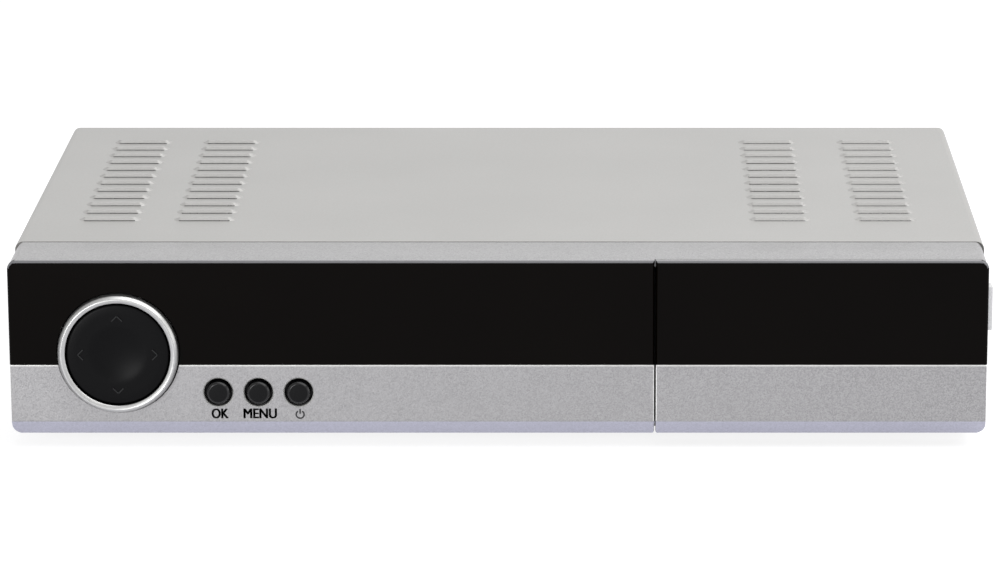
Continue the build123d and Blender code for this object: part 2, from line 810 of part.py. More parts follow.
# ---------------------------------------------------------------- base
foot_radius = 7.5
foot_tip_radius = 6.5
foot_stud = 2.0                 # radius of the plug through the base
foot_stud_height = 2.4
foot_inset_x = 22.0
foot_inset_front = 30.0
foot_inset_back = 18.0
foot_places = [
    (side * (right_edge - foot_inset_x), y)
    for side in (-1, 1)
    for y in (front_y + foot_inset_front, rear_y - foot_inset_back)
]
main_holes = [
    (x, y)
    for x in (main_left + hole_inset, (main_left + main_right) / 2, main_right - hole_inset)
    for y in (main_front_y + main_hole_front, board_back_y - main_hole_back)
]
power_holes = [
    (x, y)
    for x in (power_left + hole_inset, power_right - hole_inset)
    for y in (power_front_y + hole_inset, board_back_y - power_hole_back)
]
rear_tab_inset = 45.0
rear_tab_xs = (left_edge + rear_tab_inset, 0.0, right_edge - rear_tab_inset)
rear_tab_y = rear_inner_y - rear_flange / 2
vent_size = (16.0, 2.4)
vent_pitch = (22.0, 7.0)
vent_row_count = 9
vent_column_count = 2

with BuildPart() as base_chassis:
    with BuildSketch(facing_front(band_back_y + cover_gap)) as channel:
        with Locations((0, floor_z)):
            Rectangle(2 * chassis_side_x, chassis_flange, align=(Align.CENTER, Align.MIN))
        fillet(channel.vertices().group_by(Axis.Y)[0], chassis_sheet + fold_radius)
        with BuildSketch(facing_front(band_back_y + cover_gap), mode=Mode.SUBTRACT) as channel_room:
            with Locations((0, deck_z)):
                Rectangle(
                    2 * (chassis_side_x - chassis_sheet), chassis_flange, align=(Align.CENTER, Align.MIN)
                )
            fillet(channel_room.vertices().group_by(Axis.Y)[0], fold_radius)
    extrude(amount=-(rear_y - band_back_y - cover_gap))
    # side screw holes
    for side_y in side_screw_places:
        rod_x(
            (-chassis_side_x, chassis_side_x),
            front_y + side_y,
            floor_z + side_screw_level,
            cover_screw_radius,
            mode=Mode.SUBTRACT,
        )
    # holes for the foot plugs, the moulding's tabs and the rear panel's fold
    with BuildSketch(Plane.XY.offset(floor_z)):
        with Locations(*foot_places):
            Circle(foot_stud)
        with Locations(*[(x, tab_screw_y) for x in tab_places]):
            Circle(cover_screw_radius + screw_hole_gap)
        with Locations(*[(x, rear_tab_y) for x in rear_tab_xs]):
            Circle(cover_screw_radius + screw_hole_gap)
        # vents under both boards
        for vent_x in ((power_left + power_right) / 2, (main_left + main_right) / 2):
            with Locations((vent_x, (main_front_y + board_back_y) / 2)):
                with GridLocations(*vent_pitch, vent_column_count, vent_row_count):
                    SlotOverall(*vent_size)
    extrude(amount=chassis_sheet, mode=Mode.SUBTRACT)
save(base_chassis.part, "base_chassis")

with BuildPart() as rubber_feet:
    for foot_x, foot_y in foot_places:
        with BuildSketch(Plane((foot_x, foot_y, 0))):
            Circle(foot_tip_radius)
        with BuildSketch(Plane((foot_x, foot_y, foot_height))):
            Circle(foot_radius)
        loft()
        rod_z(foot_x, foot_y, (foot_height, foot_height + foot_stud_height), foot_stud)
save(rubber_feet.part, "rubber_feet")


# ---------------------------------------------------------------- rear connectors: places and sizes
connector_space = 2.5           # between the connectors on the main board
tuner_edge = 0.5                # tuner can from the right edge of the board
tuner_size = (42.0, 36.0, 15.0)
tuner_lid_bevel = 0.6
tuner_gap = 1.0                 # can to rear panel
lnb_pitch = 21.0
lnb_level = 8.0                 # connector above the main board
lnb_radius = 4.76               # outside of the thread
lnb_shank = 4.6                 # behind the thread, through the panel and the nut
lnb_relief = 0.3                # end of the thread behind the nut
lnb_bore = 1.2
lnb_seat = 6.2                  # shoulder inside the rear panel
nut_across = 11.0
nut_thickness = 2.4
hdmi_size = (15.0, 11.5, 5.6)
hdmi_shell = 0.5
hdmi_depth = 9.0
hdmi_tongue = (11.0, 1.2)
hdmi_tongue_setback = 1.0
optical_size = (9.8, 13.0, 10.0)
optical_mouth = 6.0
optical_depth = 8.0
network_size = (16.0, 18.0, 13.4)
network_mouth = (11.8, 7.2)
network_depth = 13.0
network_drop = 0.6              # mouth below the middle of the jack
network_latch = (6.0, 2.2)
av_pitch = 14.0
av_size = (42.0, 12.0, 13.6)
av_level = 7.6
av_collar = 4.9
av_reach = 9.0
av_collar_reach = 1.2
av_bore = 1.75
av_bore_depth = 7.0
av_root = 8.0                   # sleeves inside the rear panel
av_root_radius = 3.9
av_relief = 0.2                 # root of the sleeve past the collar
av_sleeve = 4.15
serial_size = (30.8, 10.0, 12.5)
serial_shell = (18.6, 8.4)
serial_shell_angle = 100        # base angle of the D-shaped shell
serial_reach = 5.6
serial_hole = 0.55
serial_pitch = (2.74, 2.8)      # between contacts and between their two rows
serial_hole_depth = 5.0
panel_gap = 0.3                 # cut-outs round the connectors
socket_gap = 0.2                # sockets behind the rear panel
connector_flush = 0.3           # flat connectors past the rear panel

tuner_x = main_right - tuner_edge - tuner_size[0] / 2
tuner_back_y = rear_inner_y - tuner_gap
lnb_xs = around(tuner_x, lnb_pitch)
lnb_z = board_top_z + lnb_level
hdmi_x = tuner_x - tuner_size[0] / 2 - connector_space - hdmi_size[0] / 2
optical_x = hdmi_x - hdmi_size[0] / 2 - connector_space - optical_size[0] / 2
network_x = optical_x - optical_size[0] / 2 - connector_space - network_size[0] / 2
av_x = network_x - network_size[0] / 2 - connector_space - av_size[0] / 2
av_z = board_top_z + av_level
serial_x = av_x - av_size[0] / 2 - connector_space - serial_size[0] / 2

inlet_edge = 3.5                # inlet's flange from the left edge of the power board
inlet_level = 12.0
inlet_size = (24.0, 20.0, 16.0)
inlet_flange = (29.0, 21.0)
inlet_x = power_left + inlet_edge + inlet_flange[0] / 2
inlet_z = board_top_z + inlet_level
inlet_flange_thickness = 1.6
inlet_lobe = 4.3                # each half of the mouth
inlet_lobe_pitch = 8.6
inlet_mouth_depth = 12.5
inlet_pin = 1.15
inlet_pin_length = 9.0
inlet_tail = 4.0                # pins past the back of the inlet
inlet_waist = 6.45              # height of the mouth between its halves
switch_hole = (13.0, 19.0)
switch_frame_size = (15.0, 21.0)
switch_space = 7.0              # between the inlet and the switch
switch_x = inlet_x + inlet_flange[0] / 2 + switch_space + switch_frame_size[0] / 2
switch_z = inlet_z
switch_frame_thickness = 1.6
switch_depth = 16.0
rocker_size = (10.4, 15.6)
rocker_gap = 0.35
rocker_rise = 0.4               # its hinge line past the rear panel
rocker_angle = 8.0
rocker_pin = 1.2
rocker_well = 5.2               # floor of the rocker's room in front of its pin
rocker_depth = 3.5              # rocker's body in front of its pin
rocker_crest = (1.9, 3.4)       # its face behind the pin: in the middle and at the ends
terminal_size = (0.8, 3.0, 4.0)
terminal_pitch = 6.0

rear_vent = (2.2, 9.0)          # slots above the connectors
rear_vent_pitch = 6.0
rear_vent_count = 18
rear_vent_rise = 9.0            # above the middle of the case

# ---------------------------------------------------------------- rear panel
panel_half = chassis_side_x - chassis_sheet - sheet_gap
panel_top_z = top_z - cover_sheet - 2 * sheet_gap


def rear_cut(x, z, size):
    """Cut a rectangular hole with the common gap round a connector."""
    block(
        around(x, size[0] + 2 * panel_gap),
        (rear_inner_y, rear_y),
        around(z, size[1] + 2 * panel_gap),
        mode=Mode.SUBTRACT,
    )


with BuildPart() as rear_panel:
    block((-panel_half, panel_half), (rear_inner_y, rear_y), (deck_z, panel_top_z))
    lower_corners = rear_panel.edges().filter_by(Axis.Y).group_by(Axis.Z)[0]
    chamfer(lower_corners, corner_relief)
    block(
        (-panel_half + corner_relief, panel_half - corner_relief),
        (rear_inner_y - rear_flange, rear_inner_y),
        (deck_z, deck_z + chassis_sheet),
    )
    block(
        (-panel_half + corner_relief, panel_half - corner_relief),
        (rear_inner_y - rear_flange, rear_inner_y),
        (panel_top_z - chassis_sheet, panel_top_z),
    )
    for lnb_x in lnb_xs:
        rod_y(lnb_x, (rear_inner_y, rear_y), lnb_z, lnb_radius + panel_gap, mode=Mode.SUBTRACT)
    rear_cut(hdmi_x, board_top_z + hdmi_size[2] / 2, (hdmi_size[0], hdmi_size[2]))
    rear_cut(optical_x, board_top_z + optical_size[2] / 2, (optical_size[0], optical_size[2]))
    rear_cut(network_x, board_top_z + network_size[2] / 2, (network_size[0], network_size[2]))
    rear_cut(serial_x, board_top_z + serial_size[2] / 2, (serial_shell[0], serial_shell[1] + 2 * panel_gap))
    rear_cut(inlet_x, inlet_z, (inlet_size[0], inlet_size[2]))
    rear_cut(switch_x, switch_z, switch_hole)
    for step in (-1, 0, 1):
        av_jack_x = av_x + step * av_pitch
        rod_y(av_jack_x, (rear_inner_y, rear_y), av_z, av_collar + panel_gap, mode=Mode.SUBTRACT)
    for screw_x in rear_screw_xs:
        rod_y(screw_x, (rear_inner_y, rear_y), top_z - rear_lip / 2, cover_screw_radius, mode=Mode.SUBTRACT)
    for tab_x in rear_tab_xs:
        rod_z(tab_x, rear_tab_y, (deck_z, deck_z + chassis_sheet), cover_screw_radius, mode=Mode.SUBTRACT)
    # vents between the connectors and the upper fold
    with BuildSketch(facing_front(rear_inner_y)):
        with Locations(((main_left + main_right) / 2, middle_z + rear_vent_rise)):
            with GridLocations(rear_vent_pitch, 0, rear_vent_count, 1):
                SlotOverall(rear_vent[1], rear_vent[0], rotation=90)
    extrude(amount=-chassis_sheet, mode=Mode.SUBTRACT)
save(rear_panel.part, "rear_panel")


# ---------------------------------------------------------------- case screws
cover_screw_places = [
    ((side * cover_side_x, front_y + side_y, floor_z + side_screw_level), (side, 0, 0))
    for side in (-1, 1)
    for side_y in side_screw_places
]
cover_screw_places += [((x, cover_back_y, top_z - rear_lip / 2), (0, 1, 0)) for x in rear_screw_xs]
cover_screw_places += [((x, tab_screw_y, floor_z), (0, 0, -1)) for x in tab_places]
cover_screw_places += [((x, rear_tab_y, floor_z), (0, 0, -1)) for x in rear_tab_xs]
cover_screw_bodies = [cover_screw(origin, outward) for origin, outward in cover_screw_places]

with BuildPart() as cover_screws:
    add(cover_screw_bodies)
save(cover_screws.part, "cover_screws")


# ---------------------------------------------------------------- front board and what it carries
with BuildPart() as front_board:
    block(
        (front_board_left, front_board_right),
        (front_board_y, front_board_back_y),
        (front_board_low, front_board_high),
    )
    for boss_x, boss_z in front_bosses:
        rod_y(
            boss_x,
            (front_board_y, front_board_back_y),
            boss_z,
            board_screw_radius + screw_hole_gap,
            mode=Mode.SUBTRACT,
        )
save(front_board.part, "front_board")

key_places = {f"{name}_key": (x, button_z) for name, x in buttons.items()}
key_places.update({f"{name}_key": place for name, place in nav_keys.items()})

with BuildPart() as key_switches:
    for key_x, key_z in key_places.values():
        block(around(key_x, switch_body), (switch_front_y, front_board_y), around(key_z, switch_body))
        rod_y(
            key_x,
            (switch_front_y, well_floor_y),
            key_z,
            plunger_radius + plunger_gap,
            mode=Mode.SUBTRACT,
        )
save(key_switches.part, "key_switches")

for name, (key_x, key_z) in key_places.items():
    with BuildPart() as key_plunger:
        rod_y(key_x, (plunger_y, well_floor_y - plunger_travel), key_z, plunger_radius)
    save(key_plunger.part, name)

with BuildPart() as display_module:
    display_front_y = front_board_y - display_depth
    block(
        around(display_x, display_width),
        (display_front_y, front_board_y),
        around(display_z, display_height),
    )
    chamfer(display_module.faces().sort_by(Axis.Y)[0].edges(), display_bevel)
save(display_module.part, "display_module")

with BuildPart() as infrared_receiver:
    block(
        around(receiver_x, receiver_size[0]),
        (front_board_y - receiver_size[1], front_board_y),
        around(display_z, receiver_size[2]),
    )
    with Locations((receiver_x, front_board_y - receiver_size[1], display_z)):
        Sphere(receiver_lens)
save(infrared_receiver.part, "infrared_receiver")

with BuildPart() as standby_lamp:
    lamp_base_y = front_board_y - lamp_lift
    rod_y(lamp_x, (face_back_y + lamp_radius, lamp_base_y), display_z, lamp_radius)
    with Locations((lamp_x, face_back_y + lamp_radius, display_z)):
        Sphere(lamp_radius)
    rod_y(lamp_x, (lamp_base_y - lamp_rim[1], lamp_base_y), display_z, lamp_radius + lamp_rim[0])
    for wire_x in around(lamp_x, lamp_wire_pitch):
        rod_y(wire_x, (lamp_base_y, front_board_y), display_z, lamp_wire)
save(standby_lamp.part, "standby_lamp")


# ---------------------------------------------------------------- main board and power board
with BuildPart() as main_board:
    block((main_left, main_right), (main_front_y, board_back_y), (board_z, board_top_z))
    for hole_x, hole_y in main_holes:
        rod_z(hole_x, hole_y, (board_z, board_top_z), board_screw_radius + screw_hole_gap, Mode.SUBTRACT)
save(main_board.part, "main_board")

with BuildPart() as power_board:
    block((power_left, power_right), (power_front_y, board_back_y), (board_z, board_top_z))
    for hole_x, hole_y in power_holes:
        rod_z(hole_x, hole_y, (board_z, board_top_z), board_screw_radius + screw_hole_gap, Mode.SUBTRACT)
save(power_board.part, "power_board")

with BuildPart() as board_standoffs:
    for hole_x, hole_y in main_holes + power_holes:
        rod_z(hole_x, hole_y, (deck_z, board_z), standoff_radius)
        rod_z(hole_x, hole_y, (deck_z, board_z), board_screw_radius, mode=Mode.SUBTRACT)
save(board_standoffs.part, "board_standoffs")

board_screw_places = [((x, front_board_back_y, z), (0, 1, 0)) for x, z in front_bosses]
board_screw_places += [((x, y, board_top_z), (0, 0, 1)) for x, y in main_holes + power_holes]
board_screw_bodies = [board_screw(origin, outward) for origin, outward in board_screw_places]

with BuildPart() as board_screws:
    add(board_screw_bodies)
save(board_screws.part, "board_screws")


# ---------------------------------------------------------------- parts on the main board
chip_bevel = 0.4
processor_inset = 88.0          # from the left edge of the main board
processor_depth = 92.0          # behind the silver face
processor_x = main_left + processor_inset
processor_y = front_y + processor_depth
processor_size = (27.0, 27.0, 2.0)
heatsink_size = (30.0, 30.0, 11.0)
heatsink_base = 2.4
fin_count = 8
fin_thickness = 1.2

with BuildPart() as main_processor:
    with Locations((processor_x, processor_y, board_top_z + processor_size[2] / 2)):
        Box(*processor_size)
    chamfer(main_processor.faces().sort_by(Axis.Z)[-1].edges(), chip_bevel)
save(main_processor.part, "main_processor")

with BuildPart() as processor_heatsink:
    heatsink_z = board_top_z + processor_size[2]
    fin_pitch = (heatsink_size[0] - fin_thickness) / (fin_count - 1)
    block(
        around(processor_x, heatsink_size[0]),
        around(processor_y, heatsink_size[1]),
        (heatsink_z, heatsink_z + heatsink_base),
    )
    for fin in range(fin_count):
        fin_x = processor_x - heatsink_size[0] / 2 + fin_thickness / 2 + fin * fin_pitch
        block(
            around(fin_x, fin_thickness),
            around(processor_y, heatsink_size[1]),
            (heatsink_z + heatsink_base, heatsink_z + heatsink_size[2]),
        )
save(processor_heatsink.part, "processor_heatsink")

memory_size = (14.0, 9.0, 1.2)
memory_shift = 32.0             # to the left of the processor
memory_pitch = 18.0
memory_places = [(processor_x - memory_shift, y) for y in around(processor_y, memory_pitch)]
with BuildPart() as memory_chips:
    for chip_x, chip_y in memory_places:
        with Locations((chip_x, chip_y, board_top_z + memory_size[2] / 2)):
            Box(*memory_size)
save(memory_chips.part, "memory_chips")

inductor_size = (9.0, 9.0, 5.0)
inductor_corner = 2.0
inductor_inset = 16.0
inductor_depth = 66.0
inductor_pitch = 14.0
inductor_places = [
    (main_left + inductor_inset, front_y + inductor_depth + step * inductor_pitch) for step in range(3)
]
with BuildPart() as power_inductors:
    for coil_x, coil_y in inductor_places:
        with BuildSketch(Plane((coil_x, coil_y, board_top_z))):
            RectangleRounded(inductor_size[0], inductor_size[1], inductor_corner)
        extrude(amount=inductor_size[2])
save(power_inductors.part, "power_inductors")


groove_height = 0.12            # rolled groove of a can: how high, for the can's height
groove_radius = 0.6
groove_shift = 0.35             # middle of the groove outside the can


def can_capacitor(x, y, radius, height):
    """An upright electrolytic capacitor with a rolled groove near its foot."""
    rod_z(x, y, (board_top_z, board_top_z + height), radius)
    with Locations((x, y, board_top_z + height * groove_height)):
        Torus(radius + groove_shift, groove_radius, mode=Mode.SUBTRACT)


main_capacitor = (4.0, 11.5)    # radius and height
main_capacitor_inset = 30.0
main_capacitor_depth = 62.0
main_capacitor_pitch = 12.0
main_capacitor_places = [
    (main_left + main_capacitor_inset, front_y + main_capacitor_depth + step * main_capacitor_pitch)
    for step in range(4)
]
with BuildPart() as main_capacitors:
    for can_x, can_y in main_capacitor_places:
        can_capacitor(can_x, can_y, *main_capacitor)
save(main_capacitors.part, "main_capacitors")

# smart-card reader: a shallow frame with a mouth at the front
reader_back_wall = 4.0
contact_width = 26.0            # opening over the contacts
contact_range = (14.0, 34.0)    # behind the reader's mouth
reader_front_y = bay_y + bay_wall + reader_gap
with BuildPart() as card_reader:
    block(
        around(card_x, reader_size[0]),
        (reader_front_y, reader_front_y + reader_size[1]),
        (board_top_z, board_top_z + reader_size[2]),
    )
    block(
        around(card_x, card_width),
        (reader_front_y, reader_front_y + reader_size[1] - reader_back_wall),
        around(card_z, card_mouth),
        mode=Mode.SUBTRACT,
    )
    block(
        around(card_x, contact_width),
        (reader_front_y + contact_range[0], reader_front_y + contact_range[1]),
        (card_z + card_mouth / 2, board_top_z + reader_size[2]),
        mode=Mode.SUBTRACT,
    )
save(card_reader.part, "card_reader")

usb_front_y = bay_y + bay_wall + reader_gap
usb_back_y = usb_front_y + usb_body_depth
with BuildPart() as usb_socket:
    block(around(usb_x, usb_body_width), (usb_front_y, usb_back_y), around(usb_z, usb_body_height))
    block(
        around(usb_x, usb_body_width - 2 * usb_shell),
        (usb_front_y, usb_back_y - 2 * usb_shell),
        around(usb_z, usb_body_height - 2 * usb_shell),
        mode=Mode.SUBTRACT,
    )
    # tongue with the contacts
    block(
        around(usb_x, usb_body_width - 6 * usb_shell),
        (usb_front_y + usb_tongue_setback, usb_back_y - 2 * usb_shell),
        (usb_z + usb_tongue[0], usb_z + usb_tongue[1]),
    )
save(usb_socket.part, "usb_socket")

# tuner can with two F connectors
with BuildPart() as tuner_can:
    block(
        around(tuner_x, tuner_size[0]),
        (tuner_back_y - tuner_size[1], tuner_back_y),
        (board_top_z, board_top_z + tuner_size[2]),
    )
    # rim of the pressed lid
    lid = tuner_can.faces().sort_by(Axis.Z)[-1]
    chamfer(lid.edges(), tuner_lid_bevel)
save(tuner_can.part, "tuner_can")

with BuildPart() as f_connectors:
    nut_face_y = rear_y + nut_thickness
    thread_start_y = nut_face_y + lnb_relief
    connector_tip_y = rear_y + connector_reach
    for lnb_x in lnb_xs:
        rod_y(lnb_x, (tuner_back_y, rear_inner_y), lnb_z, lnb_seat)
        rod_y(lnb_x, (rear_inner_y, thread_start_y), lnb_z, lnb_shank)
        rod_y(lnb_x, (thread_start_y, connector_tip_y), lnb_z, lnb_radius)
        rod_y(lnb_x, (nut_face_y, connector_tip_y), lnb_z, lnb_bore, mode=Mode.SUBTRACT)
save(f_connectors.part, "f_connectors")

with BuildPart() as f_nuts:
    for lnb_x in lnb_xs:
        with BuildSketch(facing_front(rear_y)):
            with Locations((lnb_x, lnb_z)):
                RegularPolygon(nut_across / 2, 6, major_radius=False)
                Circle(lnb_shank, mode=Mode.SUBTRACT)
        extrude(amount=-nut_thickness)
save(f_nuts.part, "f_nuts")


def socket_box(x, size, back_y):
    """A connector body on the main board whose back end is at back_y."""
    block(around(x, size[0]), (back_y - size[1], back_y), (board_top_z, board_top_z + size[2]))


socket_back_y = rear_y + connector_flush
with BuildPart() as hdmi_socket:
    socket_box(hdmi_x, hdmi_size, socket_back_y)
    hdmi_z = board_top_z + hdmi_size[2] / 2
    hdmi_floor_y = socket_back_y - hdmi_depth
    block(
        around(hdmi_x, hdmi_size[0] - 2 * hdmi_shell),
        (hdmi_floor_y, socket_back_y),
        around(hdmi_z, hdmi_size[2] - 2 * hdmi_shell),
        mode=Mode.SUBTRACT,
    )
    block(
        around(hdmi_x, hdmi_tongue[0]),
        (hdmi_floor_y, socket_back_y - hdmi_tongue_setback),
        around(hdmi_z, hdmi_tongue[1]),
    )
save(hdmi_socket.part, "hdmi_socket")

with BuildPart() as optical_socket:
    socket_box(optical_x, optical_size, socket_back_y)
    optical_z = board_top_z + optical_size[2] / 2
    block(
        around(optical_x, optical_mouth),
        (socket_back_y - optical_depth, socket_back_y),
        around(optical_z, optical_mouth),
        mode=Mode.SUBTRACT,
    )
save(optical_socket.part, "optical_socket")

with BuildPart() as network_jack:
    socket_box(network_x, network_size, socket_back_y)
    network_z = board_top_z + network_size[2] / 2
    block(
        around(network_x, network_mouth[0]),
        (socket_back_y - network_depth, socket_back_y),
        around(network_z - network_drop, network_mouth[1]),
        mode=Mode.SUBTRACT,
    )
    latch_z = network_z - network_drop + network_mouth[1] / 2
    block(
        around(network_x, network_latch[0]),
        (socket_back_y - network_depth, socket_back_y),
        (latch_z - network_latch[1] / 2, latch_z + network_latch[1] / 2),
        mode=Mode.SUBTRACT,
    )
save(network_jack.part, "network_jack")

socket_front_y = rear_inner_y - socket_gap      # sockets that stop behind the rear panel
sleeve_root_y = rear_inner_y - av_root
collar_y = rear_y + av_collar_reach
sleeve_y = collar_y + av_relief
av_tip_y = rear_y + av_reach
with BuildPart() as av_block:
    socket_box(av_x, av_size, socket_front_y)
    for step in (-1, 0, 1):
        av_jack_x = av_x + step * av_pitch
        rod_y(av_jack_x, (socket_front_y, collar_y), av_z, av_collar)
        rod_y(av_jack_x, (sleeve_root_y, collar_y), av_z, av_root_radius, mode=Mode.SUBTRACT)
save(av_block.part, "av_block")

with BuildPart() as av_sleeves:
    for step in (-1, 0, 1):
        av_jack_x = av_x + step * av_pitch
        rod_y(av_jack_x, (sleeve_root_y, sleeve_y), av_z, av_root_radius)
        rod_y(av_jack_x, (sleeve_y, av_tip_y), av_z, av_sleeve)
        rod_y(av_jack_x, (av_tip_y - av_bore_depth, av_tip_y), av_z, av_bore, mode=Mode.SUBTRACT)
save(av_sleeves.part, "av_sleeves")

with BuildPart() as serial_socket:
    serial_z = board_top_z + serial_size[2] / 2
    serial_tip_y = rear_y + serial_reach
    socket_box(serial_x, serial_size, socket_front_y)
    with BuildSketch(facing_front(socket_front_y)):
        with Locations((serial_x, serial_z)):
            Trapezoid(*serial_shell, serial_shell_angle)
    extrude(amount=-(serial_tip_y - socket_front_y))
    # nine contact holes in two rows
    for row_z, count in zip(around(serial_z, serial_pitch[1]), (4, 5)):
        with BuildSketch(facing_front(serial_tip_y)):
            with Locations((serial_x, row_z)):
                with GridLocations(serial_pitch[0], 0, count, 1):
                    Circle(serial_hole)
        extrude(amount=serial_hole_depth, mode=Mode.SUBTRACT)
save(serial_socket.part, "serial_socket")


# ---------------------------------------------------------------- parts on the power board
transformer_inset = (35.0, 44.0)        # from the left and front edges of the power board
transformer_x = power_left + transformer_inset[0]
transformer_y = power_front_y + transformer_inset[1]
core_width = 12.0
core_length = 26.0
core_height = 20.0
core_lift = 3.0                 # core above the board
core_end = 3.2                  # outer legs of the core
core_yoke = 3.0                 # and its top and bottom
core_window = 5.2               # height of each of the two windows
core_z = board_top_z + core_lift + core_height / 2
window_length = core_length - 2 * core_end
window_shift = core_height / 2 - core_yoke - core_window / 2
winding_width = 20.0
winding_corner = 2.0
winding_gap = 0.1

with BuildPart() as transformer_core:
    # two E halves round the winding, seen from the side
    with BuildSketch(Plane.YZ.offset(transformer_x - core_width / 2)):
        with Locations((transformer_y, core_z)):
            Rectangle(core_length, core_height)
            with Locations((0, window_shift), (0, -window_shift)):
                Rectangle(window_length, core_window, mode=Mode.SUBTRACT)
    extrude(amount=core_width)
save(transformer_core.part, "transformer_core")

with BuildPart() as transformer_winding:
    # the winding in the windows of the core, round its middle leg
    winding_height = core_height - 2 * core_yoke - 2 * winding_gap
    leg_height = winding_height - 2 * core_window + 4 * winding_gap
    with BuildSketch(facing_front(transformer_y - window_length / 2 + winding_gap)):
        with Locations((transformer_x, core_z)):
            RectangleRounded(winding_width, winding_height, winding_corner)
            Rectangle(core_width + 2 * winding_gap, leg_height, mode=Mode.SUBTRACT)
    extrude(amount=-(window_length - 2 * winding_gap))
    # feet of its bobbin, beside the core
    for side in (-1, 1):
        foot_inner = transformer_x + side * (core_width / 2 + 2 * winding_gap)
        foot_outer = transformer_x + side * winding_width / 2
        foot_length = window_length - 2 * winding_corner
        block(sorted((foot_inner, foot_outer)), around(transformer_y, foot_length), (board_top_z, core_z))
save(transformer_winding.part, "transformer_winding")

mains_part_inset = 44.0         # choke and fuse from the back edge of the board
mains_part_y = board_back_y - mains_part_inset
choke_inset = 14.0
choke_x = power_left + choke_inset
choke_size = (18.0, 18.0, 3.0)  # width, length and corner radius
choke_height = 14.0
choke_edge = 1.5
with BuildPart() as mains_choke:
    with BuildSketch(Plane((choke_x, mains_part_y, board_top_z))):
        RectangleRounded(*choke_size)
    extrude(amount=choke_height)
    fillet(mains_choke.faces().sort_by(Axis.Z)[-1].edges(), choke_edge)
save(mains_choke.part, "mains_choke")

primary_capacitor_size = (9.0, 28.0)
primary_inset = (15.0, 24.0)
with BuildPart() as primary_capacitor:
    can_capacitor(power_left + primary_inset[0], power_front_y + primary_inset[1], *primary_capacitor_size)
save(primary_capacitor.part, "primary_capacitor")

output_capacitor = (5.0, 20.0)
output_pitch = 14.0
output_inset = (18.0, 8.0)
output_places = [
    (power_left + output_inset[0] + step * output_pitch, power_front_y + output_inset[1])
    for step in range(3)
]
with BuildPart() as output_capacitors:
    for can_x, can_y in output_places:
        can_capacitor(can_x, can_y, *output_capacitor)
save(output_capacitors.part, "output_capacitors")

fuse_inset = 50.0
fuse_x = power_left + fuse_inset
fuse_length = 20.0
fuse_radius = 2.3
fuse_lift = 4.0                 # middle of the fuse above the board
cap_radius = 2.6
cap_length = 5.0
cap_pitch = 16.0
clip_size = (3.4, 4.0)
with BuildPart() as mains_fuse:
    fuse_z = board_top_z + fuse_lift
    rod_y(fuse_x, around(mains_part_y, fuse_length), fuse_z, fuse_radius)
    for cap_y in around(mains_part_y, cap_pitch):
        rod_y(fuse_x, around(cap_y, cap_length), fuse_z, cap_radius)
        block(around(fuse_x, clip_size[0]), around(cap_y, clip_size[1]), (board_top_z, fuse_z))
save(mains_fuse.part, "mains_fuse")


# ---------------------------------------------------------------- mains inlet and switch
inlet_face_y = rear_y + inlet_flange_thickness
pin_back_y = rear_y - inlet_size[1] - inlet_tail
pin_xs = around(inlet_x, inlet_lobe_pitch)

with BuildPart() as mains_inlet:
    block(
        around(inlet_x, inlet_size[0]),
        (rear_y - inlet_size[1], rear_y),
        around(inlet_z, inlet_size[2]),
    )
    block(
        around(inlet_x, inlet_flange[0]),
        (rear_y, inlet_face_y),
        around(inlet_z, inlet_flange[1]),
    )
    # figure-of-eight mouth
    with BuildSketch(facing_front(inlet_face_y)):
        with Locations(*[(pin_x, inlet_z) for pin_x in pin_xs]):
            Circle(inlet_lobe)
        with Locations((inlet_x, inlet_z)):
            Rectangle(inlet_lobe_pitch, inlet_waist)
    extrude(amount=inlet_mouth_depth, mode=Mode.SUBTRACT)
    for pin_x in pin_xs:
        rod_y(pin_x, (rear_y - inlet_size[1], rear_y), inlet_z, inlet_pin, mode=Mode.SUBTRACT)
save(mains_inlet.part, "mains_inlet")

with BuildPart() as inlet_pins:
    pin_tip_y = inlet_face_y - inlet_mouth_depth + inlet_pin_length
    for pin_x in pin_xs:
        rod_y(pin_x, (pin_back_y, pin_tip_y), inlet_z, inlet_pin)
save(inlet_pins.part, "inlet_pins")

rocker_y = rear_y + rocker_rise
rocker_radius = rocker_size[1] / 2
terminal_y = rear_y - switch_depth - terminal_size[1]
terminal_xs = around(switch_x, terminal_pitch)

with BuildPart() as switch_frame:
    block(
        around(switch_x, switch_hole[0]),
        (rear_y - switch_depth, rear_y),
        around(switch_z, switch_hole[1]),
    )
    block(
        around(switch_x, switch_frame_size[0]),
        (rear_y, rear_y + switch_frame_thickness),
        around(switch_z, switch_frame_size[1]),
    )
    block(
        around(switch_x, rocker_size[0] + 2 * rocker_gap),
        (rocker_y - rocker_well, rear_y + switch_frame_thickness),
        around(switch_z, rocker_size[1] + 2 * rocker_gap),
        mode=Mode.SUBTRACT,
    )
    rod_x(
        around(switch_x, switch_hole[0]), rocker_y, switch_z, rocker_pin + hinge_gap, mode=Mode.SUBTRACT
    )
    for terminal_x in terminal_xs:
        terminal_range = (terminal_y, rear_y - switch_depth)
        block(around(terminal_x, terminal_size[0]), terminal_range, around(switch_z, terminal_size[2]))
save(switch_frame.part, "switch_frame")

rocker_plane = Plane(
    (switch_x - rocker_size[0] / 2, rocker_y, switch_z),
    x_dir=(0, cos(radians(rocker_angle)), sin(radians(rocker_angle))),
    z_dir=(1, 0, 0),
)
with BuildPart() as switch_rocker:
    with BuildSketch(rocker_plane):
        Circle(rocker_radius)
        Polygon(
            (-rocker_depth, -rocker_radius),
            (rocker_crest[1], -rocker_radius),
            (rocker_crest[0], 0),
            (rocker_crest[1], rocker_radius),
            (-rocker_depth, rocker_radius),
            align=None,
            mode=Mode.INTERSECT,
        )
    extrude(amount=rocker_size[0])
    rod_x(around(switch_x, switch_hole[0] - 2 * sheet_gap), rocker_y, switch_z, rocker_pin)
save(switch_rocker.part, "switch_rocker")


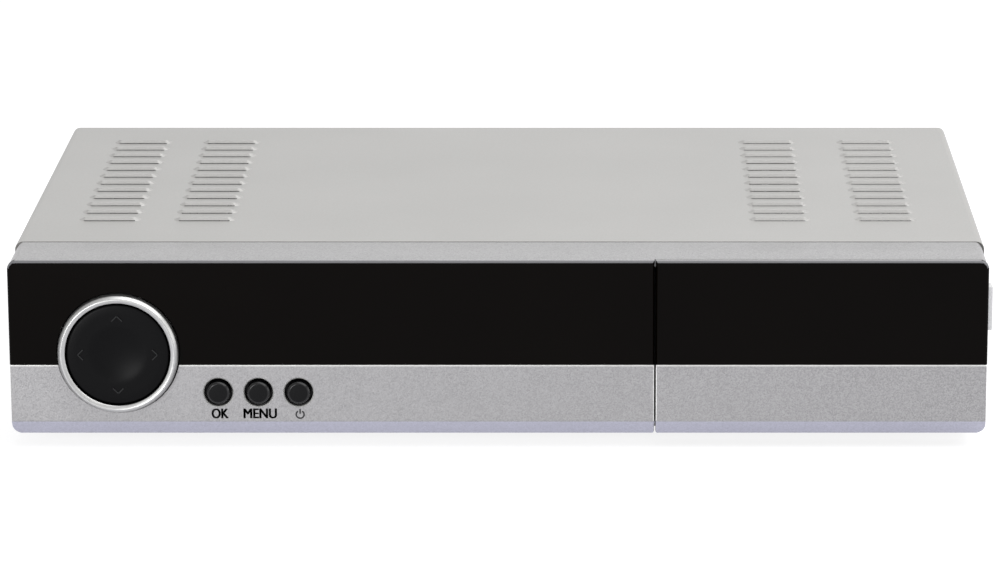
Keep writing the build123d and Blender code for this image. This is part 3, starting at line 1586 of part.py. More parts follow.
# ---------------------------------------------------------------- headers, ribbon and leads
ribbon_inset = 40.0
ribbon_x = main_left + ribbon_inset
ribbon_width = 18.0
ribbon_thickness = 0.8
ribbon_bend = 6.0
ribbon_depth = 27.0             # header behind the front edge of the main board
ribbon_height = 30.0            # header on the front board above the lower edge
ribbon_y = main_front_y + ribbon_depth
ribbon_front_z = floor_z + ribbon_height
ribbon_header = (22.0, 5.0, 6.0)
lead_header = (5.0, 12.0, 7.0)
lead_header_depth = 34.0
lead_header_y = power_front_y + lead_header_depth
lead_header_inset = 6.0
lead_header_xs = (power_right - lead_header_inset, main_left + lead_header_inset)
ribbon_low_z = board_top_z + ribbon_header[2]
ribbon_front_y = front_board_back_y + ribbon_header[2]

with BuildPart() as board_headers:
    block(
        around(ribbon_x, ribbon_header[0]),
        around(ribbon_y, ribbon_header[1]),
        (board_top_z, ribbon_low_z),
    )
    block(
        around(ribbon_x, ribbon_header[0]),
        (front_board_back_y, ribbon_front_y),
        around(ribbon_front_z, ribbon_header[1]),
    )
    for header_x in lead_header_xs:
        block(
            around(header_x, lead_header[0]),
            around(lead_header_y, lead_header[1]),
            (board_top_z, board_top_z + lead_header[2]),
        )
save(board_headers.part, "board_headers")

with BuildPart() as ribbon_cable:
    with BuildSketch(Plane.YZ.offset(ribbon_x - ribbon_width / 2)):
        with BuildLine():
            FilletPolyline(
                (ribbon_y, ribbon_low_z),
                (ribbon_y, ribbon_front_z),
                (ribbon_front_y, ribbon_front_z),
                radius=ribbon_bend,
            )
        trace(line_width=ribbon_thickness)
    extrude(amount=ribbon_width)
save(ribbon_cable.part, "ribbon_cable")

lead_radius = 0.8
lead_pitch = 2.6
lead_rise = 12.0
lead_bend = 5.0
mains_lead_radius = 1.1
mains_lead_bend = 3.0
mains_turn = 8.0                # from the inlet's pins to the bend of their wires
mains_turn_y = pin_back_y - mains_turn
lead_count = 4


def lead(points, radius, bend):
    """An insulated wire of straight runs joined by arcs."""
    with BuildPart() as wire:
        with BuildLine() as path:
            FilletPolyline(*points, radius=bend)
        with BuildSketch(Plane(path.line @ 0, z_dir=path.line % 0)):
            Circle(radius)
        sweep()
    return wire.part


# between the two boards
header_top_z = board_top_z + lead_header[2]
lead_top_z = header_top_z + lead_rise
lead_ys = [lead_header_y + (step - (lead_count - 1) / 2) * lead_pitch for step in range(lead_count)]
lead_runs = [
    [
        (lead_header_xs[0], y, header_top_z),
        (lead_header_xs[0], y, lead_top_z),
        (lead_header_xs[1], y, lead_top_z),
        (lead_header_xs[1], y, header_top_z),
    ]
    for y in lead_ys
]
# from one pin of the inlet, and from the switch, down to the power board
mains_runs = [
    [(x, y, inlet_z), (x, mains_turn_y, inlet_z), (x, mains_turn_y, board_top_z)]
    for x, y in ((pin_xs[0], pin_back_y), (terminal_xs[1], terminal_y))
]
# from the other pin to the switch
mains_runs.append(
    [
        (pin_xs[1], pin_back_y, inlet_z),
        (pin_xs[1], mains_turn_y, inlet_z),
        (terminal_xs[0], mains_turn_y, inlet_z),
        (terminal_xs[0], terminal_y, inlet_z),
    ]
)
wires = [lead(run, lead_radius, lead_bend) for run in lead_runs]
wires += [lead(run, mains_lead_radius, mains_lead_bend) for run in mains_runs]

with BuildPart() as internal_leads:
    add(wires)
save(internal_leads.part, "internal_leads")
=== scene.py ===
import json
import math

import bmesh
import bpy
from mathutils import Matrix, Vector


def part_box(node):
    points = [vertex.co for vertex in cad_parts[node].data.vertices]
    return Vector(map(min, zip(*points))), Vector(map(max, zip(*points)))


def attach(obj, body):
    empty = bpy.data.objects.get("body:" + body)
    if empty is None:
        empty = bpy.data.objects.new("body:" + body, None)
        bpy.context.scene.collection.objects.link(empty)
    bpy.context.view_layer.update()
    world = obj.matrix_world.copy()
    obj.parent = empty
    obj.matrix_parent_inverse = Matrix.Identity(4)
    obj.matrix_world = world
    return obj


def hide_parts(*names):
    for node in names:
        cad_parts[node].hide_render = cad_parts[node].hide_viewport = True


# Satellite television receiver: +X to the right as the front is seen, +Y to the back, +Z up.
# The frame is in metres. Sizes and places named in this script are in millimetres, apart from
# those of the floor and the lamps, which are in metres.

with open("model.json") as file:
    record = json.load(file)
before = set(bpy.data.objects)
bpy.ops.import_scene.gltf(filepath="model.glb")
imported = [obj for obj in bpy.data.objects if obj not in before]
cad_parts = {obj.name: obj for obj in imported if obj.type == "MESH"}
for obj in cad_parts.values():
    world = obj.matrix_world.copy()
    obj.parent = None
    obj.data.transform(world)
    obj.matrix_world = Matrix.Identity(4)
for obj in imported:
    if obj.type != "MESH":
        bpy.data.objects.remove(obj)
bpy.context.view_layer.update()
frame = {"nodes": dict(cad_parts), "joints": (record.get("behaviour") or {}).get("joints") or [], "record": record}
nodes = frame["nodes"]

MM = 0.001


# ---------------------------------------------------------------- colours and nodes
def linear(code):
    """Linear colour with alpha from an sRGB hex value."""
    channels = [int(code[i:i + 2], 16) / 255 for i in (0, 2, 4)]
    levels = [c / 12.92 if c <= 0.04045 else ((c + 0.055) / 1.055) ** 2.4 for c in channels]
    return (*levels, 1.0)


def add(tree, kind, settings=None, links=None):
    """A shader node of one kind, its settings and socket values, and the sockets that feed it."""
    made = tree.nodes.new("ShaderNode" + kind)
    for name, value in (settings or {}).items():
        if isinstance(name, str) and name.islower():
            setattr(made, name, value)
        else:
            made.inputs[name].default_value = value
    for name, source in (links or {}).items():
        tree.links.new(source, made.inputs[name])
    return made


def begin(name, **sockets):
    """A new material with its tree, its shader and the object coordinates."""
    made = bpy.data.materials.new(name)
    made.use_nodes = True
    tree = made.node_tree
    tree.nodes.clear()
    settings = {key.replace("_", " "): value for key, value in sockets.items()}
    shader = add(tree, "BsdfPrincipled", settings)
    add(tree, "OutputMaterial", None, {"Surface": shader.outputs[0]})
    place = add(tree, "TexCoord").outputs["Object"]
    return made, tree, shader, place


def per_metre(millimetres):
    """Pattern scale that gives features of this size."""
    return 1.0 / (millimetres * MM)


def spread(tree, factor, low, high):
    """A ramp between two values or colours."""
    ramp = add(tree, "ValToRGB", None, {"Fac": factor})
    for stop, value in zip(ramp.color_ramp.elements, (low, high)):
        stop.color = value if isinstance(value, tuple) else (value, value, value, 1.0)
    return ramp.outputs["Color"]


def noise(tree, place, size_mm, detail):
    """A cloudy pattern with features of this size."""
    settings = {"Scale": per_metre(size_mm), "Detail": detail}
    return add(tree, "TexNoise", settings, {"Vector": place}).outputs["Fac"]


def colour(tree, shader, pattern, dark, light):
    """Feed the shader's colour with a pattern between two tones."""
    tone = spread(tree, pattern, linear(dark), linear(light))
    tree.links.new(tone, shader.inputs["Base Color"])


def drifting_colour(tree, shader, tone, drift, darkest):
    """Feed the shader's colour with a tone that a wide pattern darkens a little here and there."""
    shade = spread(tree, drift, linear(darkest), linear("ffffff"))
    mixed = add(
        tree, "Mix", {"data_type": "RGBA", "blend_type": "MULTIPLY", 0: 1.0}, {6: tone, 7: shade}
    )
    tree.links.new(mixed.outputs[2], shader.inputs["Base Color"])


def roughen(tree, shader, pattern, low, high):
    """Feed the shader's roughness with a pattern between two values."""
    tree.links.new(spread(tree, pattern, low, high), shader.inputs["Roughness"])


def raise_surface(tree, shader, height, depth_mm):
    """Feed the shader's normal with a bump of a real depth."""
    settings = {"Strength": 1.0, "Distance": depth_mm * MM}
    bump = add(tree, "Bump", settings, {"Height": height})
    tree.links.new(bump.outputs["Normal"], shader.inputs["Normal"])


# ---------------------------------------------------------------- finishes
flake_mm = 0.3                  # flakes of about 0.1 mm, drawn larger so that their grain shows


def silver_paint(name, dark, light, lean_size):
    """Metallic silver paint on moulded ABS: coarse aluminium flakes under a thin clear coat."""
    made, tree, shader, place = begin(
        name, Metallic=0.55, IOR=1.5, Roughness=0.42, Coat_Weight=0.25, Coat_Roughness=0.22
    )
    flakes = add(tree, "TexVoronoi", {"Scale": per_metre(flake_mm)}, {"Vector": place})
    grain = add(tree, "SeparateColor", None, {"Color": flakes.outputs["Color"]})
    tone = spread(tree, grain.outputs[0], linear(dark), linear(light))
    drifting_colour(tree, shader, tone, noise(tree, place, 14.0, 2.0), "f4f4f4")
    # each flake lies at its own small angle, which makes the paint glitter
    lean = add(
        tree, "VectorMath",
        {"operation": "MULTIPLY_ADD", 1: (lean_size,) * 3, 2: (-0.5 * lean_size,) * 3},
        {0: flakes.outputs["Color"]},
    )
    face = add(tree, "NewGeometry")
    tilted = add(
        tree, "VectorMath", {"operation": "ADD"},
        {0: face.outputs["Normal"], 1: lean.outputs[0]},
    )
    level = add(tree, "VectorMath", {"operation": "NORMALIZE"}, {0: tilted.outputs[0]})
    tree.links.new(level.outputs[0], shader.inputs["Normal"])
    return made


def window_acrylic():
    """Dark tinted acrylic with a polished face: deep black with a faint warm cast."""
    made, tree, shader, place = begin(
        "dark_tinted_acrylic", Metallic=0.0, IOR=1.49, Roughness=0.06, Specular_IOR_Level=0.05
    )
    colour(tree, shader, noise(tree, place, 30.0, 3.0), "040201", "080503")
    # faint waviness of a moulded pane, a few micrometres over 12 mm
    raise_surface(tree, shader, noise(tree, place, 12.0, 0.0), 0.004)
    return made


def plated_ring():
    """Satin chrome plating on ABS: bright, with soft highlights."""
    made, tree, shader, place = begin("satin_chrome_plated_abs", Metallic=1.0, Roughness=0.36)
    cloud = noise(tree, place, 1.2, 4.0)
    colour(tree, shader, cloud, "a6a6a5", "b6b6b5")
    roughen(tree, shader, cloud, 0.32, 0.42)
    return made


def key_plastic(name, specular, smooth, rough):
    """Moulded black ABS with a fine spark-eroded texture: slightly grey."""
    made, tree, shader, place = begin(name, IOR=1.52, Specular_IOR_Level=specular)
    grit = noise(tree, place, 0.22, 2.0)
    colour(tree, shader, grit, "060607", "0d0d0e")
    roughen(tree, shader, grit, smooth, rough)
    raise_surface(tree, shader, grit, 0.012)
    return made


def cover_paint():
    """Silver-grey stoved paint on sheet steel: fine metallic grain, softly glossy."""
    made, tree, shader, place = begin(
        "silver_grey_stoved_paint",
        Metallic=0.25, IOR=1.5, Roughness=0.46, Coat_Weight=0.1, Coat_Roughness=0.35,
    )
    tone = spread(tree, noise(tree, place, 0.5, 3.0), linear("a09f9d"), linear("b0afad"))
    drifting_colour(tree, shader, tone, noise(tree, place, 45.0, 2.0), "f3f3f3")
    # orange peel of sprayed paint, a few micrometres over 0.9 mm
    raise_surface(tree, shader, noise(tree, place, 0.9, 1.0), 0.006)
    return made


def zinc_sheet():
    """Hot-dip galvanised sheet steel: crystals of a few millimetres in slightly different greys."""
    made, tree, shader, place = begin("galvanised_sheet_steel", Metallic=1.0, Roughness=0.4)
    spangle = add(tree, "TexVoronoi", {"Scale": per_metre(6.0)}, {"Vector": place})
    grain = add(tree, "SeparateColor", None, {"Color": spangle.outputs["Color"]})
    colour(tree, shader, grain.outputs[0], "a9abae", "c2c4c6")
    roughen(tree, shader, grain.outputs[1], 0.32, 0.46)
    raise_surface(tree, shader, noise(tree, place, 0.4, 3.0), 0.006)
    return made


def plain_finish(name, dark, light, roughness, metallic=0.0, ior=1.5, grain_mm=0.4, depth_mm=0.006):
    """A fine even grain between two tones, with the same grain in its gloss and its surface."""
    made, tree, shader, place = begin(name, Metallic=metallic, IOR=ior)
    fine = noise(tree, place, grain_mm, 3.0)
    colour(tree, shader, fine, dark, light)
    roughen(tree, shader, fine, max(roughness - 0.07, 0.03), min(roughness + 0.07, 1.0))
    raise_surface(tree, shader, fine, depth_mm)
    return made


finishes = {
    "silver_moulding": silver_paint("metallic_silver_paint_on_abs", "8f8e8f", "a9a8a9", 0.17),
    # painted reflection of the white floor on the bevel along the bottom: the same paint, paler, smoother and pale
    # lavender
    "silver_painted_floor_reflection": silver_paint("metallic_silver_paint_flop", "b0b0be", "bebecd", 0.08),
    # painted highlight on the rounded edges: a brighter copy of the silver paint
    "painted_highlight_edge": silver_paint("metallic_silver_paint_thin", "dcdcda", "eaeae8", 0.1),
    # painted highlight on the finger lug: a paler, smoother copy of the silver paint
    "pale_silver": silver_paint("pale_silver_paint", "cfcfd0", "dcdcdc", 0.08),
    "black_window": window_acrylic(),
    # sawn acrylic, frosted and dark grey, with the sheen of the bright tent painted in on the bevels that face up
    "frosted_edge_and_sheen": plain_finish("sawn_acrylic_edge", "5c5c5f", "6b6b6e", 0.4, ior=1.49),
    "ring_silver": plated_ring(),
    # the pad is matt, the small caps are glossier
    "key_black": key_plastic("matt_black_abs", 0.07, 0.32, 0.42),
    "button_black": key_plastic("gloss_black_abs", 0.12, 0.22, 0.34),
    "button_rim": key_plastic("polished_black_abs", 0.3, 0.16, 0.26),
    # painted shade deep in a seam or under a lip: black without a gleam
    "painted_gap_shade": key_plastic("unpolished_black_edge", 0.0, 0.8, 0.9),
    "cover_paint": cover_paint(),
    "zinc_sheet": zinc_sheet(),
    # painted shade on the cut edge of the sheet steel, in the shadow of its joint: dull grey
    "cover_edge_painted_shade": plain_finish("sheared_sheet_edge", "5f5e5d", "74736f", 0.5, metallic=0.6),
    # screen-printing ink: matt black
    "print_black": plain_finish(
        "screen_printing_ink", "0d0d0e", "17171a", 0.55, grain_mm=0.3, depth_mm=0.002
    ),
    # pad-printed ink on the switch: white
    "print_white": plain_finish(
        "pad_printing_ink", "d8d8d6", "e6e6e4", 0.5, grain_mm=0.3, depth_mm=0.002
    ),
    # styrene-butadiene rubber: dull black, dusty
    "rubber_black": plain_finish(
        "black_sbr_rubber", "141414", "242322", 0.82, ior=1.52, grain_mm=0.3
    ),
    # zinc-plated steel screws: bright blue-grey
    "screw_steel": plain_finish(
        "zinc_plated_steel", "8f9296", "b2b5b8", 0.34, metallic=1.0, grain_mm=0.25
    ),
    # solder mask over glass fibre: smooth green
    "board_green": plain_finish("green_solder_mask", "0c3a1c", "154a26", 0.35, grain_mm=0.6),
    # paper phenolic board: brown, slightly fibrous
    "board_tan": plain_finish("phenolic_paper_board", "8a6336", "a07544", 0.5, grain_mm=0.8),
    # moulded nylon: matt black
    "inner_black": plain_finish("black_moulded_nylon", "121213", "1e1e20", 0.55, grain_mm=0.3),
    # epoxy moulding compound: fine matt charcoal
    "chip_black": plain_finish("epoxy_moulding_compound", "161616", "232323", 0.6, grain_mm=0.15),
    # natural nylon: milky cream
    "header_white": plain_finish("natural_nylon", "ded8c6", "ebe6d6", 0.5, grain_mm=0.5),
    # tinned steel screening: pale and soft
    "tinned_steel": plain_finish(
        "tinned_sheet_steel", "b6b8bb", "cbcdcf", 0.28, metallic=1.0, grain_mm=1.2
    ),
    # nickel-plated brass: warm silver
    "nickel_brass": plain_finish(
        "nickel_plated_brass", "b3aea2", "cbc6ba", 0.25, metallic=1.0, grain_mm=0.5
    ),
    # black anodised aluminium: dark and dry
    "heatsink_aluminium": plain_finish(
        "black_anodised_aluminium", "1c1d1f", "2a2b2e", 0.45, metallic=0.7
    ),
    # PVC shrink sleeve: glossy dark blue
    "can_sleeve": plain_finish("pvc_shrink_sleeve", "10142a", "181d38", 0.3, grain_mm=0.8),
    # sintered ferrite: dark grey, sandy
    "ferrite": plain_finish(
        "sintered_ferrite", "202020", "2e2d2c", 0.65, grain_mm=0.3, depth_mm=0.015
    ),
    # polyester tape: yellow, slightly glossy
    "tape_yellow": plain_finish("polyester_winding_tape", "b98a1c", "cb9c2a", 0.35, grain_mm=1.0),
    # glass tube with metal caps: pale and shiny
    "fuse_glass": plain_finish("fuse_glass", "c6cccc", "dde2e2", 0.12, grain_mm=1.5),
    # filled epoxy display face: near black
    "display_grey": plain_finish("filled_display_epoxy", "0c0c0d", "151516", 0.3, grain_mm=0.5),
    # infrared filter plastic: very dark red
    "lens_dark": plain_finish("infrared_filter_plastic", "14060a", "1e0a0e", 0.12, grain_mm=1.0),
    # tinted epoxy lamp: red, glossy
    "lamp_red": plain_finish("red_tinted_epoxy", "8a0c0c", "a01212", 0.1, grain_mm=1.0),
    # flat cable insulation: soft grey
    "ribbon_grey": plain_finish("grey_pvc_ribbon", "9c9c99", "adadaa", 0.45, grain_mm=1.27),
    # PVC wire insulation: red
    "lead_colour": plain_finish("red_pvc_insulation", "8c1a14", "a2231b", 0.4, grain_mm=0.6),
}

for entry in frame["record"]["subparts"]:
    mesh = nodes[entry["node"]].data
    mesh.materials.clear()
    mesh.materials.append(finishes[entry["material_slot"]])


# ---------------------------------------------------------------- places, in millimetres
def corners(node):
    """Lowest and highest corner of a CAD node, in millimetres."""
    low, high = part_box(node)
    return low / MM, high / MM


def axis_of(node):
    """Where the middle of a CAD node lies across and up, in millimetres."""
    low, high = corners(node)
    return (low.x + high.x) / 2, (low.z + high.z) / 2


def joint_place(name):
    """Where a joint of the frame lies, in millimetres."""
    found = next(joint for joint in frame["joints"] if joint["name"] == name)
    return Vector(found["pos_m"]) / MM


panel_low, panel_high = corners("front_panel")
pane_low, pane_high = corners("display_window")
face_y, base_z = panel_low.y, panel_low.z           # silver face and lower edge of the front
side_x, top_z = panel_high.x, panel_high.z
window_y, window_back_y = pane_low.y, pane_high.y
window_base_z = pane_low.z
seam_left_x, seam_right_x = pane_high.x, corners("door_window")[0].x
cover_front_y = corners("top_cover")[0].y
band_back_y = face_y + 22.0                         # rear edge of the band over the top
bay_back_y = face_y + 12.0                          # back wall of the bay behind the flap
pad_pivot = joint_place("pad_tilt_up_down")
nav = (pad_pivot.x, pad_pivot.z)                    # axis of the ring and the pad
button_names = ("ok", "menu", "power")


# ---------------------------------------------------------------- modelling helpers
def only(piece):
    """Select one object alone and make it active."""
    bpy.ops.object.select_all(action="DESELECT")
    piece.select_set(True)
    bpy.context.view_layer.objects.active = piece


def edit(piece):
    """Open one object's mesh with everything selected."""
    only(piece)
    bpy.ops.object.mode_set(mode="EDIT")
    bpy.ops.mesh.select_mode(type="VERT")
    bpy.ops.mesh.select_all(action="SELECT")


def choose(piece, kind, wanted):
    """Select the vertices, edges or faces of the open mesh that a test accepts, and count them."""
    bpy.ops.mesh.select_mode(type={"verts": "VERT", "edges": "EDGE", "faces": "FACE"}[kind])
    bpy.ops.mesh.select_all(action="DESELECT")
    mesh = bmesh.from_edit_mesh(piece.data)
    found = [item for item in getattr(mesh, kind) if wanted(item)]
    for item in found:
        item.select_set(True)
    bmesh.update_edit_mesh(piece.data)
    return len(found)


def close(piece, smooth_angle=30.0):
    """Close the mesh, with faces smooth up to an angle."""
    bpy.ops.object.mode_set(mode="OBJECT")
    only(piece)
    bpy.ops.object.shade_smooth_by_angle(angle=math.radians(smooth_angle))


def start_plane(name):
    """A unit plane at the origin, open for editing."""
    bpy.ops.mesh.primitive_plane_add(size=1.0)
    piece = bpy.context.object
    piece.name = name
    edit(piece)
    return piece


def tidy_mesh(merge_mm):
    """Merge the open mesh's coincident vertices and turn its faces outwards."""
    bpy.ops.mesh.select_all(action="SELECT")
    bpy.ops.mesh.remove_doubles(threshold=merge_mm * MM)
    bpy.ops.mesh.normals_make_consistent(inside=False)


def cad_copy(node, name):
    """A merged copy of a CAD node's mesh as a piece of its own, its flat faces joined up."""
    piece = bpy.data.objects.new(name, nodes[node].data.copy())
    bpy.context.scene.collection.objects.link(piece)
    only(piece)
    bpy.ops.mesh.customdata_custom_splitnormals_clear()
    edit(piece)
    bpy.ops.mesh.remove_doubles(threshold=0.002 * MM)
    bpy.ops.mesh.dissolve_limited(angle_limit=math.radians(0.5))
    bpy.ops.object.mode_set(mode="OBJECT")
    return piece


def copy_of(piece, name):
    """Another piece with its own mesh."""
    twin = bpy.data.objects.new(name, piece.data.copy())
    bpy.context.scene.collection.objects.link(twin)
    return twin


def join(pieces):
    """Make several pieces into the first of them."""
    bpy.ops.object.select_all(action="DESELECT")
    for piece in pieces:
        piece.select_set(True)
    bpy.context.view_layer.objects.active = pieces[0]
    bpy.ops.object.join()
    return pieces[0]


def apply_place(piece):
    """Put the place of an object into its mesh."""
    only(piece)
    bpy.ops.object.transform_apply(location=True, rotation=True, scale=True)


def at(face):
    """Middle of a face in millimetres."""
    return face.calc_center_median() / MM


def middle(edge):
    """Middle of an edge in millimetres."""
    a, b = (v.co for v in edge.verts)
    return (a + b) / 2 / MM


def near(value, target, reach=0.02):
    """Whether two lengths in millimetres are the same, give or take the reach."""
    return abs(value - target) < reach


def from_axis(place, axis):
    """Distance of a place from an axis along Y, in millimetres."""
    return math.hypot(place.x - axis[0], place.z - axis[1])


def soften(piece, width_mm, wanted, segments=2, least=25.0):
    """Round the outward edges that a test of their middles accepts."""
    def outward(edge):
        return (
            len(edge.link_faces) == 2
            and edge.is_convex
            and math.degrees(edge.calc_face_angle(0.0)) > least
            and wanted(middle(edge))
        )

    edit(piece)
    if choose(piece, "edges", outward):
        bpy.ops.mesh.bevel(
            offset=width_mm * MM,
            offset_type="OFFSET",
            segments=segments,
            profile=0.5,
            affect="EDGES",
            clamp_overlap=False,
        )
    close(piece)


def settle_normals(piece):
    """Let the large flat faces set the shading beside them."""
    only(piece)
    weighted = piece.modifiers.new("weighted", "WEIGHTED_NORMAL")
    weighted.keep_sharp = True
    weighted.weight = 100
    bpy.ops.object.modifier_apply(modifier="weighted")


def finish_all(piece, finish):
    """Give the whole piece one finish."""
    piece.data.materials.clear()
    piece.data.materials.append(finishes[finish])


def paint_faces(piece, finish, wanted):
    """Give the faces that a test accepts another finish."""
    piece.data.materials.append(finishes[finish])
    edit(piece)
    choose(piece, "faces", wanted)
    piece.active_material_index = len(piece.data.materials) - 1
    bpy.ops.object.material_slot_assign()
    bpy.ops.object.mode_set(mode="OBJECT")


def dress(piece, finish, body, *replaced):
    """Tie a piece to its body and hide the CAD nodes it stands for; its finish is not used."""
    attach(piece, body)
    if replaced:
        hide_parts(*replaced)


# ---------------------------------------------------------------- moulded front
edge_round = 0.28               # radius of the edges of the silver face
chin_back_y = -80.0             # the lower edges in front of this are rounded
bevel_top_z = base_z + 5.0      # above the bevel along the bottom


def dress_moulding(piece, seam_x):
    """Rounded edges, rims with a painted highlight, a painted reflection on the bevel along the bottom and seam
    faces with painted shade, shared by the front and its flap.
    """
    def face_edge(p):
        """The edge under the window, the one above the bevel and the edges at the seam."""
        level = near(p.y, face_y) and (near(p.z, window_base_z) or p.z < bevel_top_z)
        upright = near(p.x, seam_x) and p.y < face_y + 4 and p.z < window_base_z - 0.1
        return level or upright

    def bright_rim(f):
        """The rounded edges under the window and at the seam, which get a painted highlight."""
        p = at(f)
        level = f.normal.z > 0.2 and near(p.z, window_base_z, 0.3)
        upright = abs(f.normal.x) > 0.2 and near(p.x, seam_x, 0.3)
        in_round = face_y + 0.01 < p.y < face_y + edge_round - 0.01
        return in_round and p.z > bevel_top_z and (level or upright)

    soften(piece, 0.3, lambda p: near(p.z, base_z) and p.y < chin_back_y)
    soften(piece, edge_round, face_edge, least=15.0)
    finish_all(piece, "silver_moulding")
    # painted highlight on the rounded edges under the window and at the seam
    paint_faces(piece, "painted_highlight_edge", bright_rim)
    # painted reflection of the floor on the bevel along the bottom, which faces down and forwards
    paint_faces(piece, "silver_painted_floor_reflection", lambda f: f.normal.z < -0.3 and f.normal.y < -0.3)
    # painted shade on the faces inside the seam
    paint_faces(piece, "painted_gap_shade", lambda f: abs(f.normal.x) > 0.98 and near(at(f).x, seam_x))


hole_reach = 4.4                # takes in the rounded rims of the button holes
holes = [axis_of(f"{name}_button") for name in button_names]


def hole_rim(f):
    """The rounded rims of the button holes, which get a painted highlight."""
    p = at(f)
    return (
        -0.95 < f.normal.y < -0.25
        and p.y < face_y + 0.5
        and any(from_axis(p, hole) < hole_reach for hole in holes)
    )


def in_bay(f):
    """The walls of the bay behind the flap."""
    p = at(f)
    return (
        seam_left_x < p.x < side_x - 1
        and face_y + 2 < p.y < bay_back_y + 0.1
        and base_z + 1 < p.z < top_z - 1
        and (f.normal.y > -0.5 or near(p.y, bay_back_y))
    )


front = cad_copy("front_panel", "front_moulding")
# the rear edge of the band beside the cover and its front edge
soften(front, 0.45, lambda p: near(p.z, top_z) and near(p.y, band_back_y))
soften(front, 0.2, lambda p: near(p.z, top_z) and near(p.y, window_back_y))
dress_moulding(front, seam_left_x)
# painted highlight on the rounded rims of the button holes
paint_faces(front, "painted_highlight_edge", hole_rim)
# the bay is masked off when the front is sprayed, so it stays bare black; the black also paints in the shade
# behind the seam
paint_faces(front, "inner_black", in_bay)
dress(front, "silver_moulding", "receiver", "front_panel")

flap = cad_copy("door_flap", "flap_moulding")
# the finger lug stands out past the side
soften(flap, 0.3, lambda p: p.x > side_x + 1)
dress_moulding(flap, seam_right_x)
# painted highlight on the finger lug, drawn in a paler silver
paint_faces(flap, "pale_silver", lambda f: at(f).x > side_x + 0.1)
dress(flap, "silver_moulding", "flap", "door_flap")


# ---------------------------------------------------------------- windows
def dressed_window(node, name, body):
    """A pane with a bevelled, frosted rim with painted sheen where it faces up; silver paint laps over its top
    edge.
    """
    def front_edge(p):
        """The upright edges at the two ends of the face."""
        return p.y < window_y + 0.6 and window_base_z + 1 < p.z < top_z - 1

    def frosted_sheen_rim(f):
        """The bevels that face forwards and up, which get the frosted grey with painted sheen."""
        return -0.97 < f.normal.y < -0.1 and f.normal.z > 0.1 and at(f).z > window_base_z + 0.1

    pane = cad_copy(node, name)
    # the sawn edge along the top is rounded over onto the face
    soften(
        pane, 0.38, lambda p: near(p.y, window_y) and p.z > top_z - 0.6, segments=3, least=14.0
    )
    soften(pane, 0.1, front_edge, least=14.0)
    finish_all(pane, "black_window")
    # the upward bevels are frosted grey, which also paints in their sheen
    paint_faces(pane, "frosted_edge_and_sheen", frosted_sheen_rim)
    paint_faces(pane, "silver_moulding", lambda f: f.normal.z > 0.98)
    close(pane)
    # painted shade on the pane's end faces at the seam
    paint_faces(
        pane, "painted_gap_shade", lambda f: abs(f.normal.x) > 0.98 and near(at(f).x, seam_left_x, 1.0)
    )
    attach(pane, body)
    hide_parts(node)


dressed_window("display_window", "fixed_pane", "receiver")
dressed_window("door_window", "flap_pane", "flap")


# ---------------------------------------------------------------- ring, pad and buttons
def lathe(name, points, axis, steps):
    """Turn a profile of (radius, y) points about an axis along Y, all in millimetres."""
    piece = start_plane(name)
    # the plane is cut down to one corner, which is drawn out point by point into the profile
    choose(piece, "verts", lambda v: v.co.x > 0 or v.co.y > 0)
    bpy.ops.mesh.delete(type="VERT")
    bpy.ops.mesh.select_all(action="SELECT")
    start = Vector((axis[0] + points[0][0], points[0][1], axis[1])) * MM
    bpy.ops.transform.translate(value=start - Vector((-0.5, -0.5, 0)))
    for (r0, y0), (r1, y1) in zip(points, points[1:]):
        bpy.ops.mesh.extrude_vertices_move(
            TRANSFORM_OT_translate={"value": ((r1 - r0) * MM, (y1 - y0) * MM, 0)}
        )
    bpy.ops.mesh.select_all(action="SELECT")
    bpy.ops.mesh.spin(
        steps=steps, angle=math.tau, center=(axis[0] * MM, 0, axis[1] * MM), axis=(0, 1, 0)
    )
    tidy_mesh(0.001)
    close(piece)
    return piece


round_steps = 144
ring_front = face_y - 2.4
ring_outer, ring_inner = 16.05, 14.0
shelf_radius, flange_radius = 12.45, 18.55
flange_y, shelf_y, ring_back_y = face_y + 3.2, face_y + 3.3, face_y + 5.2
# a slope outwards and a slope inwards that meet at a soft ridge: radius and depth behind it
ring_slopes = [
    (ring_outer, 1.15), (15.98, 0.92), (15.82, 0.68), (15.4, 0.2), (15.27, 0.08), (15.12, 0.01),
    (14.98, 0.0), (14.84, 0.04), (14.7, 0.1), (14.2, 0.38), (14.08, 0.48), (ring_inner, 0.64),
]
ring_outline = [(ring_outer, flange_y)]
ring_outline += [(radius, ring_front + depth) for radius, depth in ring_slopes]
ring_outline += [(ring_inner, shelf_y), (shelf_radius, shelf_y), (shelf_radius, ring_back_y)]
ring_outline += [(flange_radius, ring_back_y), (flange_radius, flange_y), (ring_outer, flange_y)]
ring = lathe("nav_ring_plated", ring_outline, nav, round_steps)
finish_all(ring, "ring_silver")
# the plating stops at the inner shoulder, where the black moulding shows; this black also paints in the shade of
# the gap between the ring and the pad
paint_faces(
    ring, "key_black",
    lambda f: from_axis(at(f), nav) < ring_inner + 0.01 or at(f).y > flange_y - 0.1,
)
close(ring, 40.0)
dress(ring, "ring_silver", "receiver", "nav_ring")

pad_y = ring_front + 0.65
pad_radius, pad_back_y = 13.65, pad_y + 3.95
dish_radius, dish_depth = 7.4, 1.0
